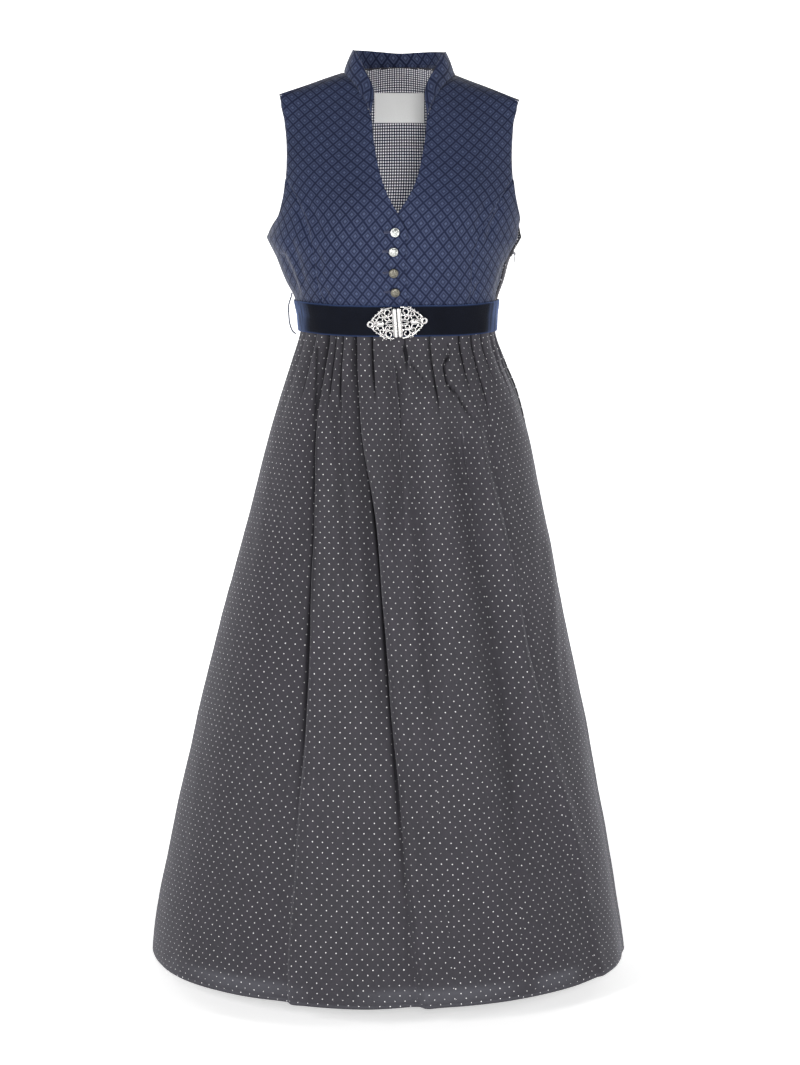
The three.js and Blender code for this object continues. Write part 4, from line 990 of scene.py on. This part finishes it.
def build_collar():
    lean = float(bodice["lean"](0))

    def seam_side(side):
        rows = []
        for stops, is_back in ((COLLAR_SEAM, False), (BACK_NECK[1:], True)):
            for x, z in stops:
                angle, level = bodice_spot(side * x, z, is_back)
                p = bodice_point(np.float64(angle), np.float64(level))
                rows.append(p + np.array([-0.3 * side, 0, 1.6 * SEAM_GAP]))
        return rows

    def free_side(side):
        higher = COLLAR_LEFT_HIGHER * (side < 0)
        edge_points = []
        for x, y, z in COLLAR_FREE_EDGE:
            rise = higher * smooth(z, 10, 44) * smooth(x, 0, 60)
            edge_points.append(np.array([side * x + lean, y, z + rise]))
        return edge_points

    left, right = seam_side(-1), seam_side(1)
    seam = left + right[:-1][::-1]
    left, right = free_side(-1), free_side(1)
    free = left + right[:-1][::-1]
    along = np.linspace(0, 1, 221)[::-1]
    up = np.concatenate([[-0.07, -0.035], np.linspace(0, 1, 25)])
    low = curve_at(seam, through([0, 0.28, 0.5, 0.72, 1], [0.012, 0.33, 0.5, 0.67, 0.988])(along))
    high = curve_at(free, through([0, 0.28, 0.5, 0.72, 1], [0, 0.36, 0.5, 0.64, 1])(along))
    points = low[None] * (1 - up[:, None, None]) + high[None] * up[:, None, None]
    out = normals_of(points)
    # The band is a little full between its two seams, and its seam edge sinks into the neckline.
    rise = lengths(points, 0)
    rise = rise - rise[2]
    full = 0.9 * np.sin(np.pi * np.maximum(up, 0))[:, None] + 0.35 * noise(points, 42, 31)
    full = full - 1.3 * np.exp(-((np.maximum(rise, 0) / 1.6) ** 2)) + 0.5 * np.minimum(rise, 0)
    points = points + out * full[..., None]
    run = lengths(points, 1).mean(0)
    u = np.broadcast_to((run - run[110]) * MM * 0.945, points.shape[:2])
    # The front ends are cut on the slant, so their diamonds lie turned and flattened.
    turn = np.radians(34) * smooth(np.abs(along - 0.5), 0.24, 0.42) * np.sign(0.5 - along)
    v = rise * MM * 0.87
    shape = np.stack([u * np.cos(turn) + v * np.sin(turn), v * np.cos(turn) - u * np.sin(turn) * 0.35], -1)
    shape[..., 1] += 0.0092
    obj = cloth("cloth_collar", points, shape, 1.6, [jacquard, jacquard])
    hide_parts("collar")


# The label, blank, sewn to the lining at its two ends.
LABEL = dict(half=35.5, top=-10, bottom=-52)


def back_inside(x, z, depth):
    """The point of the back's lining at this x and z, with the unevenness that the back has there."""
    angle, level = bodice_spot(x, z, True)
    grid = np.array([[(angle + i, level + j) for i in (-0.4, 0, 0.4)] for j in (-1, 0, 1)])
    base = bodice_point(grid[..., 0], grid[..., 1])
    out = normals_of(base)[1, 1]
    return base[1, 1] + out * (0.5 * noise(base, 75, 3)[1, 1] - depth)


def build_label():
    xs = np.linspace(LABEL["half"], -LABEL["half"], 37)
    zs = np.linspace(LABEL["bottom"], LABEL["top"], 22)
    points = np.array([[back_inside(x, z, 3.5) for x in xs] for z in zs])
    share = np.linspace(-1, 1, 37)[None, :]
    lift = 1.0 * (1 - share**6) * (0.6 + 0.4 * np.sin(np.linspace(0.4, 2.8, 22)))[:, None]
    points[..., 1] -= lift
    uv = np.stack(np.meshgrid(-(xs + 35.5) * MM, zs * MM), -1)
    flat = points[:, ::-1]
    obj = cloth("cloth_label", flat, uv[:, ::-1], 0.4, [satin, satin])
    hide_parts("neck_label")
    stitches = Shape()
    for side in (-1, 1):
        for z in np.arange(LABEL["bottom"] + 1.5, LABEL["top"] - 1, 2.4):
            ends = [back_inside(side * (LABEL["half"] - 1.6), z + step, 3.5) for step in (-0.8, 0, 0.8)]
            ends = np.array(ends) + np.array([[0, -0.3, 0], [0, -0.75, 0], [0, -0.3, 0]])
            stitches.tube(ends, 0.22, 6, facing=(0, 1, 0))
    add_object("stitches_label", stitches.mesh("stitches_label"), [white_thread], "dress")


def skirt_columns(gathers, start):
    """Waist angles of the columns, close together beside each gather."""
    steps = (-3.4, -2.4, -1.7, -1.2, -0.8, -0.5, -0.25, 0, 0.25, 0.5, 0.85, 1.3, 2, 3)
    fine = [start, start + 180] + [row[0] + step for row in gathers for step in steps]
    # The kinked tuck at the front right needs columns that are close together all the way.
    fine += [a for a in np.arange(25, 41, 0.4) if start < 0]
    coarse = [a for a in np.arange(start + 1, start + 180, 1.0) if min(abs(a - f) for f in fine) > 0.55]
    ordered = sorted(set(np.round(fine + coarse, 3)))
    gathers_at_ends = [start, start + 180] + [row[0] for row in gathers]
    kept = [a for i, a in enumerate(ordered) if a in gathers_at_ends or ordered[i - 1] < a - 0.12]
    return np.array(kept)


# Where the hem's turning shows lighter: the middle's x and half the width.
HEM_PATCHES = ((-215, 75), (55, 100), (215, 30))
# How far the dots of one region are moved for each column before it, so that their rows don't meet.
PATTERN_SHIFT = 0.0031
# How much painted shade each millimetre of a trough's depth adds.
TROUGH_SHADE = 0.025
# Half the width of the painted dark line along each of the first three creases, which are sharp.
SHARP_LINES = (1.2, 1.2, 2.4)
# Paths in x and z, depth, the widths of the left and right sides, and the lap.
SKIRT_CREASES = [
    (
        [(64, -345), (68, -356), (61, -372), (65, -395), (73, -405), (80, -413), (94, -435), (115, -461)],
        6, 3, 1.4, 1.6,
    ),
    ([(4, -345), (10, -362), (24, -380), (50, -408)], 3, 7, 4, 0),
    ([(-113, -354), (-115, -490), (-118, -640), (-130, -870)], 1.2, 2.5, 2.5, 0),
    (
        [(77, -415), (85, -465), (104, -580), (125, -687), (148, -830), (158, -955), (162, -1096)],
        13, 24, 14, 0,
    ),
    ([(93, -387), (112, -510), (149, -646), (167, -764), (209, -920), (262, -1092)], -7, 9, 7, 0),
    ([(200, -600), (211, -686), (214, -789), (226, -900)], -2, 8, 6, 0),
    ([(-88, -400), (-84, -470), (-76, -560), (-70, -700)], 7, 8, 9, 0),
    ([(-73, -380), (-68, -480), (-60, -560)], 4, 5, 6, 0),
    ([(-4, -345), (-3, -443), (-4, -550), (0, -640)], 9, 11, 9, 0),
    ([(9, -400), (17, -500), (27, -593), (41, -768), (52, -900)], 9, 13, 11, 0),
    ([(136, -366), (149, -388), (163, -425), (180, -480)], 2.8, 7, 7, 0),
    ([(-30, -400), (-22, -470), (-12, -560)], 1.8, 8, 10, 0),
    ([(22, -345), (20, -380), (22, -430)], 1.6, 4, 6, 0),
    ([(-150, -560), (-170, -700), (-196, -880)], 2.6, 18, 22, 0),
    ([(160, -860), (178, -960), (190, -1100)], 3, 22, 26, 0),
    ([(20, -860), (34, -980), (44, -1120)], 2.4, 20, 24, 0),
]


def build_skirt(name, is_back, regions, seed):
    """Each region of the cloth lies along its own line of threads, and a fold hides where they change."""
    gathers, start = (BACK_GATHERS, 90) if is_back else (FRONT_GATHERS, -90)
    angles = skirt_columns(gathers, start)
    length = WAIST - HEM
    low = length - np.array([0.6, 1.6, 2.6, 3.8, 5.0, 6.2, 8])
    drops = np.array(sorted(set(np.round(list(length * np.linspace(0, 1, 128) ** 1.4) + list(low), 2))))
    drop, angle = np.meshgrid(drops[::-1], angles, indexing="ij")
    base, slit = skirt_point(angle, drop, is_back)
    out = normals_of(base)
    side = np.exp(-np.minimum(np.abs(angle - start), np.abs(angle - start - 180)) * 2.6 / 1.6)
    # The turned hem: a stitched line a little above the edge, and the edge itself rolled in.
    from_hem = length - drop
    hem = -0.6 * np.exp(-(((from_hem - 4.6) / 1.1) ** 2)) - 0.8 * np.exp(-from_hem / 0.8)
    soft = 0.9 * noise(base, 150, seed) * smooth(drop, 20, 200) + 0.25 * noise(base, 38, seed + 1)
    points = base + out * (soft + hem - 0.8 * side)[..., None]
    if not is_back:
        points = creased(points, out, SKIRT_CREASES)
        # Painted shade: a trough's bottom is darkened by its depth, and the kinked tuck and the two after it
        # get a sharp painted dark line.
        for path, depth, left, right, _ in SKIRT_CREASES:
            signed, along = lines_away(base, path)
            shade = np.exp(-((signed / np.where(signed < 0, left, right)) ** 2))
            shade = shade * smooth(along, 0, 0.15) * (1 - smooth(along, 0.6, 1))
            slit = slit + max(depth, 0) * TROUGH_SHADE * shade
        for (path, *_), wide in zip(SKIRT_CREASES, SHARP_LINES):
            signed, along = lines_away(base, path)
            slit = np.maximum(slit, np.exp(-((signed / wide) ** 2)) * (1 - smooth(along, 0.5, 0.95)))
    run = lengths(points, 1)
    radius = 1615 * (370 - points[..., 2]) / 1585
    uv = np.zeros((len(drops) - 1, len(angles) - 1, 4, 2))
    for low_angle, high_angle, straight in regions:
        first, last = (int(np.argmin(np.abs(angles - a))) for a in (low_angle, high_angle))
        line = int(np.argmin(np.abs(angles - straight)))
        turn = (run - run[:, [line]]) / radius
        hidden = 0.24 * (1 - smooth(drop, 150, 420)) * (run - run[:, [line]])
        flat = np.stack([radius * np.sin(turn) + hidden, -radius * np.cos(turn)], -1) * MM
        flat[..., 0] += PATTERN_SHIFT * line
        corners = np.stack([flat[:-1, :-1], flat[:-1, 1:], flat[1:, 1:], flat[1:, :-1]], 2)
        uv[:, first:last] = corners[:, first:last]
    patches = smooth(noise(base, 120, seed + 5), 0.2, 1)
    for middle, half in HEM_PATCHES:
        patches = np.maximum(patches, np.exp(-(((base[..., 0] - middle) / half) ** 4)))
    # Lighter patches along the hem's turning, and a lighter band at its rolled edge.
    hem_lighter = patches * np.exp(-(((from_hem - 16) / 9) ** 2)) + 0.5 * np.exp(-(((from_hem - 3) / 1.6) ** 2))
    shades = {"crease_shade": np.clip(slit, 0, 1), "hem_lighter": np.clip(hem_lighter, 0, 1)}
    obj = cloth("cloth_" + name, points, uv, 1.1, [dotted, dotted_inside], shades)
    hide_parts(name)
    spread = np.array([run[:, -1].max(), lengths(points, 0)[-1].mean()]) * MM
    flat = (float(spread[0]), float(spread[1]))


# The belt and its buckle
BELT_CLEAR = 1.3
BELT_CLOTH = 1.8
BELT_MIDDLE = (BELT_TOP + BELT_BOTTOM) / 2
BELT_LEVELS = [BELT_BOTTOM, BELT_MIDDLE, BELT_TOP]


def belt_section(level, angle, out):
    a = np.radians(angle)
    under = bodice if level > WAIST else skirt
    width = under["width"](level) + BELT_CLEAR + out
    forward = PLACKET_LIFT * (1 - smooth(np.abs(np.sin(a)), 0.05, 0.5))
    depth = np.where(np.cos(a) > 0, under["front"](level) + forward, under["back"](level))
    y = -(depth + BELT_CLEAR + out) * np.cos(a)
    return np.stack([width * np.sin(a) + under["lean"](level), y, np.full(np.shape(a), level)], -1)


def belt_point(angle, level, out):
    rows = np.stack([belt_section(l, angle, out) for l in BELT_LEVELS])
    t = np.clip((level - BELT_BOTTOM) / (BELT_TOP - BELT_BOTTOM) * 2, 0, 2)[..., None]
    return np.where(t < 1, rows[0] * (1 - t) + rows[1] * t, rows[1] * (2 - t) + rows[2] * (t - 1))


def build_belt():
    angle, level = np.meshgrid(np.linspace(0.1, 359.9, 361), np.linspace(BELT_BOTTOM, BELT_TOP, 19))
    points = belt_point(angle, level, BELT_CLOTH)
    out = normals_of(points)
    share = (level - BELT_MIDDLE) / 21
    wave = 0.35 * noise(points, 60, 41) + 0.3 * np.sin(np.radians(angle) * 17) * share
    points = points + out * (wave - 0.5 * np.abs(share) ** 8)[..., None]
    points[..., 2] += 0.5 * np.sin(np.radians(angle) * 5 + 1)
    run = lengths(points, 1)
    uv = np.stack([run, lengths(points, 0)], -1) * MM
    shades = {"rim": np.clip((np.abs(share) - 0.94) / 0.03, 0, 1)}
    obj = cloth("cloth_belt", points, uv, 1.2, [velvet, velvet_back], shades)
    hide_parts("belt")


BUCKLE_TILT = math.radians(4.0)
# Curls of one quarter: centre, outer radius, where it starts and how far it turns, its wire and the
# ball at its end.
CURLS = [
    (11.6, 14.6, 5.7, 200, 395, 0.62, 1.5),
    (12.9, 6.3, 3.7, 95, -380, 0.6, 1.1),
    (20.9, 10.6, 3.5, 110, -330, 0.58, 1.1),
    (29.6, 5.4, 3.1, 60, -320, 0.55, 1.0),
    (22.5, 15.0, 1.8, 250, 300, 0.5, 0.8),
]
VINES = [
    [
        (5.6, 21.0), (10.5, 20.6), (16.2, 18.8), (19.5, 18.2),
        (24.6, 14.3), (28.4, 10.9), (32.6, 7.6), (35, 4.2),
    ],
    [(6.0, 9.8), (9.0, 9.6), (13, 10.2), (17, 9.4), (19.2, 6.2), (20.2, 3.4)],
    [(16.6, 13.8), (18.4, 14.6), (19.8, 18.4)],
    [(23.8, 9.4), (26.0, 7.4), (27.2, 3.8)],
    [(26.6, 2.4), (29, 1.2), (32.6, 1.0)],
    [(5.6, 3.4), (8.6, 4.6), (10.4, 3.2)],
]
KNOBS = [(19.4, 19.9, 1.35), (28.6, 12.2, 1.35), (16.4, 21.2, 0.9), (31.9, 9.2, 0.8), (24.4, 16.8, 0.8)]


def buckle_place(side):
    def place(points):
        across, up, out = points[:, 0], points[:, 1], points[:, 2]
        x = side * across * math.cos(BUCKLE_TILT) - up * math.sin(BUCKLE_TILT)
        z = BELT_MIDDLE - 1.6 + up * math.cos(BUCKLE_TILT) + side * across * math.sin(BUCKLE_TILT)
        angle = np.degrees(np.arcsin(x / 141))
        behind = belt_point(angle, np.clip(z, BELT_BOTTOM, BELT_TOP), BELT_CLOTH)
        return np.stack([x + float(bodice["lean"](BELT_MIDDLE)), behind[:, 1] - out - 0.9, z], -1)

    return place


def bow(points, height):
    points = np.asarray(points, float)
    return np.hstack([points, np.full((len(points), 1), height)])


def build_buckle(side, name):
    shape = Shape()
    for flip in (1, -1):
        mirror = np.array([1, flip, 1])
        for x, y, radius, begin, turns, shrink, ball in CURLS:
            t = np.linspace(0, 1, 40)
            a = np.radians(begin + turns * t)
            r = radius * (1 - shrink * t**1.3)
            path = np.stack([x + r * np.cos(a), y + r * np.sin(a), 1.3 + 0.5 * t], -1) * mirror
            thick = np.interp(t, [0, 0.15, 0.7, 1], [0.65, 0.85, 0.78, 0.55]) * (1.12 if radius > 3 else 0.85)
            shape.tube(path, thick, 10, flat=1.1)
            shape.ball(path[-1] + [0, 0, 0.3], (ball, ball, ball * 0.9))
        for k, line in enumerate(VINES):
            path = bow(spline(line, 26), 1.2) * mirror
            thick = np.interp(np.linspace(0, 1, 27), [0, 0.5, 1], [0.8, 0.98, 0.75])
            shape.tube(path, thick * (1.12 if k < 2 else 0.9), 10)
        for x, y, r in KNOBS:
            shape.ball((x, y * flip, 1.4), (r, r, r))
        for k in (1, 3):
            a = math.radians(8 + 15 * k) * flip
            tip = np.array([15.6 - 9.4 * math.cos(a), 9.4 * math.sin(a) * 0.62])
            shape.tube(bow(spline([(16.4, 0.2 * flip), tip], 8), 1.5), np.linspace(0.4, 0.8, 9), 8)
    # The boss: an oval cup with a domed oval bead in it, ringed by small beads.
    shape.ball((22.9, 0, 1.4), (5.5, 4.2, 1.3), 10, 28)
    shape.ball((22.9, 0, 2.7), (3.7, 2.9, 1.9), 12, 28)
    for k in range(16):
        a = 2 * math.pi * (k + 0.5) / 16
        shape.ball((22.9 + 4.8 * math.cos(a), 3.6 * math.sin(a), 2.1), (0.72, 0.72, 0.7), 6, 8)
    a = np.linspace(0, 2 * math.pi, 40, endpoint=False)
    ring = np.stack([36.4 + 3.25 * np.cos(a), 3.25 * np.sin(a), np.full(40, 1.5)], -1)
    shape.tube(ring, 1.5, 12, flat=0.9, closed=True)
    # Two upright bars, the inner one broad and polished, the outer one grooved.
    for x, half, r, tall in ((2.7, 20.6, 2.35, 1.5), (5.7, 19.4, 0.7, 1.3)):
        t = np.linspace(-1, 1, 36)
        path = np.stack([np.full(36, x), half * t, np.full(36, tall)], -1)
        shape.tube(path, r * (1 - 0.85 * np.abs(t) ** 24), 14, flat=0.85)
    for y in np.linspace(-17.6, 17.6, 23):
        shape.ball((5.7, y, 1.95), (0.5, 0.5, 0.4), 5, 8)
    mesh = shape.mesh("metal_" + name, buckle_place(side))
    obj = add_object("metal_" + name, mesh, [silver], "dress")
    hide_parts(name)


# Domed buttons, each with a small raised flower, and the buttonholes beside them
BUTTONS = [(-193, 0.2), (-218.5, 1.1), (-247, 2.3), (-273, 0.8)]


def frame_at(angle, level, lift):
    grid = np.array([[(angle + i, level + j) for i in (-0.3, 0, 0.3)] for j in (-0.5, 0, 0.5)])
    points = bodice_point(grid[..., 0], grid[..., 1], lift)
    return Vector(points[1, 1]), Vector(normals_of(points)[1, 1])


def build_buttons():
    holes = Shape()
    for i, (z, turn) in enumerate(BUTTONS):
        angle, level = bodice_spot(0, z)
        place, out = frame_at(angle, level, PLACKET_LIFT)

        def flower(r, a, turn=turn):
            petals = 0.5 + 0.5 * np.cos(6 * (a + turn))
            ring = np.exp(-(((r - 2.9) / 1.1) ** 2)) * petals * 0.55
            centre = 0.45 * np.exp(-((r / 0.9) ** 4))
            rim = 0.3 * np.exp(-(((r - 5.5) / 0.35) ** 2))
            return (ring + centre + rim) * (r > 0.01)

        radii = np.concatenate([np.linspace(6.4, 5.0, 9), np.linspace(4.8, 0.05, 22)])
        front = [(r, 1.9 + 2.4 * math.sqrt(max(0.0, 1 - (r / 6.45) ** 2))) for r in radii]
        profile = [(0.05, 0.3), (1.5, 0.3), (1.6, 1.0), (5.8, 1.0), (6.35, 1.3)] + front
        shape = Shape()
        shape.lathe(profile, 48, flower)
        metal = pewter if i < 2 else bronzed
        name = f"metal_button_{i + 1}"
        obj = add_object(name, shape.mesh(name), [metal], "dress")
        obj.location = place * MM + out * (2 * SEAM_GAP * MM)
        obj.rotation_euler = out.to_track_quat("Z", "Y").to_euler()
        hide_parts(f"button_{i + 1}")
        # Closely worked stitches round a slit that reaches out to the left of the button.
        for x in np.arange(-14.5, -4.5, 0.62):
            spot, away = frame_at(*bodice_spot(x, z + 0.4), PLACKET_LIFT)
            for way in (-1, 1):
                stitch = ((0.2, 0.15), (0.75, 0.8), (0.1, 1.6))
                path = [spot + away * off + Vector((0, 0, up * way)) for off, up in stitch]
                holes.tube([list(p) for p in path], 0.34, 6, facing=(0, 1, 0))
    add_object("stitches_buttonholes", holes.mesh("stitches_buttonholes"), [navy_thread], "dress")


def build_belt_loop():
    angle = -88.0
    levels = np.arange(-345.0, -280, 0.5)
    base = {level: bodice_point(np.float64(angle), np.float64(max(level, WAIST))) for level in levels}

    def foot(level, out):
        p = base[round(level * 2) / 2]
        return [p[0] - out + (0.5 if level < WAIST else 0), p[1], level]

    stops = [
        foot(BELT_TOP + 9, 1.2), foot(BELT_TOP + 4, 4.6), foot(BELT_TOP - 8, 11.5),
        foot(BELT_MIDDLE - 2, 14.1), foot(BELT_BOTTOM + 9, 14.9), foot(BELT_BOTTOM - 1, 11.6),
        foot(BELT_BOTTOM - 4.5, 7.6),
    ]
    line = spline(stops, 150)
    along = np.gradient(line, axis=0)
    along /= np.linalg.norm(along, axis=1, keepdims=True)
    one = np.cross(along, (0, 1, 0))
    one /= np.linalg.norm(one, axis=1, keepdims=True)
    two = np.cross(along, one)
    shape = Shape()
    turn = np.linspace(0, 30 * math.pi, 151)[:, None]
    for phase in (0, 2 * math.pi / 3, 4 * math.pi / 3):
        strand = line + 0.5 * (np.cos(turn + phase) * one + np.sin(turn + phase) * two)
        shape.tube(strand, 0.52, 7, facing=(0, 1, 0))
    for end in (line[0], line[-1]):
        shape.ball(end, (0.9, 0.9, 0.9))
    obj = add_object("thread_belt_loop", shape.mesh("thread_belt_loop"), [navy_thread], "dress")
    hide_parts("belt_loop")


FRONT_REGIONS = [(-90, -44, -57), (-44, -25, -37), (-25, 4.4, -22), (4.4, 29, 23), (29, 49, 42), (49, 90, 90)]
BACK_REGIONS = [
    (90, 127, 90), (127, 152, 140), (152, 178, 165), (178, 205, 192), (205, 233, 220), (233, 270, 270),
]
build_bodice()
build_collar()
build_label()
build_skirt("skirt_front", False, FRONT_REGIONS, 51)
build_skirt("skirt_back", True, BACK_REGIONS, 77)
build_belt()
build_buckle(-1, "buckle_left")
build_buckle(1, "buckle_right")
build_buttons()
build_belt_loop()
for name in ("zip_slider", "zip_pull_tab"):
    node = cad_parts[name]
    node.data.materials.clear()
    node.data.materials.append(enamel)

# Camera
camera_data = bpy.data.cameras.new("camera")
camera_data.sensor_fit = "VERTICAL"
camera_data.sensor_height = 36
camera_data.lens = 3049.4 / 1065 * 36
camera_data.clip_end = 60
camera = bpy.data.objects.new("camera", camera_data)
bpy.context.scene.collection.objects.link(camera)
camera.location = (0, -4.2, COLLAR_TOP * MM)
camera.rotation_euler = (math.radians(90 - 8.9547), 0, 0)
bpy.context.scene.camera = camera

# Setting: a pale floor, brighter further out, that curves up into a wall far behind, and soft light
HEM_ABOVE_FLOOR = 0.03
# name, size, power, place and the height it is aimed at
LIGHTS = (
    ("left", (0.9, 1.6), 88, (-2.7, -3.1, 0.5), -0.6),
    ("right", (0.9, 2.0), 62, (3.7, -1.9, 0.3), -0.6),
    ("front", (0.8, 0.8), 87, (0.25, -4.6, 0.35), -0.3),
    ("back_left", (1.0, 2.0), 30, (-2.7, 2.5, 0.4), -0.6),
    ("back_right", (1.0, 2.0), 26, (2.7, 2.5, 0.4), -0.6),
)


def build_setting():
    reach, bend = 12.0, 2.0
    turn = np.linspace(0.1, 1.5, 12)
    curve = [(reach + bend * math.sin(a), bend - bend * math.cos(a)) for a in turn]
    profile = [(-reach, 0.0), (reach, 0.0)] + curve + [(reach + bend, 12.0)]
    points = [(x, y, HEM * MM - HEM_ABOVE_FLOOR + z) for y, z in profile for x in (-reach, reach)]
    faces = [(2 * i, 2 * i + 1, 2 * i + 3, 2 * i + 2) for i in range(len(profile) - 1)]
    mesh = bpy.data.meshes.new("setting")
    mesh.from_pydata(points, [], faces)
    set_smooth(mesh)
    obj = bpy.data.objects.new("setting", mesh)
    bpy.context.scene.collection.objects.link(obj)
    g = Graph("pale_paint", Roughness=0.9)
    g.shader.inputs["Base Color"].default_value = (0.86, 0.86, 0.86, 1)
    g.shader.inputs["Emission Color"].default_value = (1, 1, 1, 1)
    place = g.node("SeparateXYZ", g.node("TexCoord").outputs["Object"]).outputs
    away = g.math("SQRT", g.math("ADD", g.math("POWER", place[0], 2), g.math("POWER", place[1], 2)))
    g.set("Emission Strength", g.span(away, 0.5, 2.6, 0.56, 1.0))
    mesh.materials.append(g.material)


def area_light(name, size, power, place, aim_height):
    data = bpy.data.lights.new(name, "AREA")
    data.shape = "RECTANGLE"
    data.size, data.size_y = size
    data.energy = power
    obj = bpy.data.objects.new(name, data)
    bpy.context.scene.collection.objects.link(obj)
    obj.location = place
    aim = Vector((0, 0, aim_height))
    obj.rotation_euler = (aim - Vector(place)).to_track_quat("-Z", "Y").to_euler()


build_setting()
for light in LIGHTS:
    area_light(*light)
world = bpy.data.worlds.new("studio")
bpy.context.scene.world = world
world.use_nodes = True
world.node_tree.nodes["Background"].inputs[0].default_value = (1, 1, 1, 1)
world.node_tree.nodes["Background"].inputs[1].default_value = 0.1
bpy.context.scene.view_settings.view_transform = "Standard"
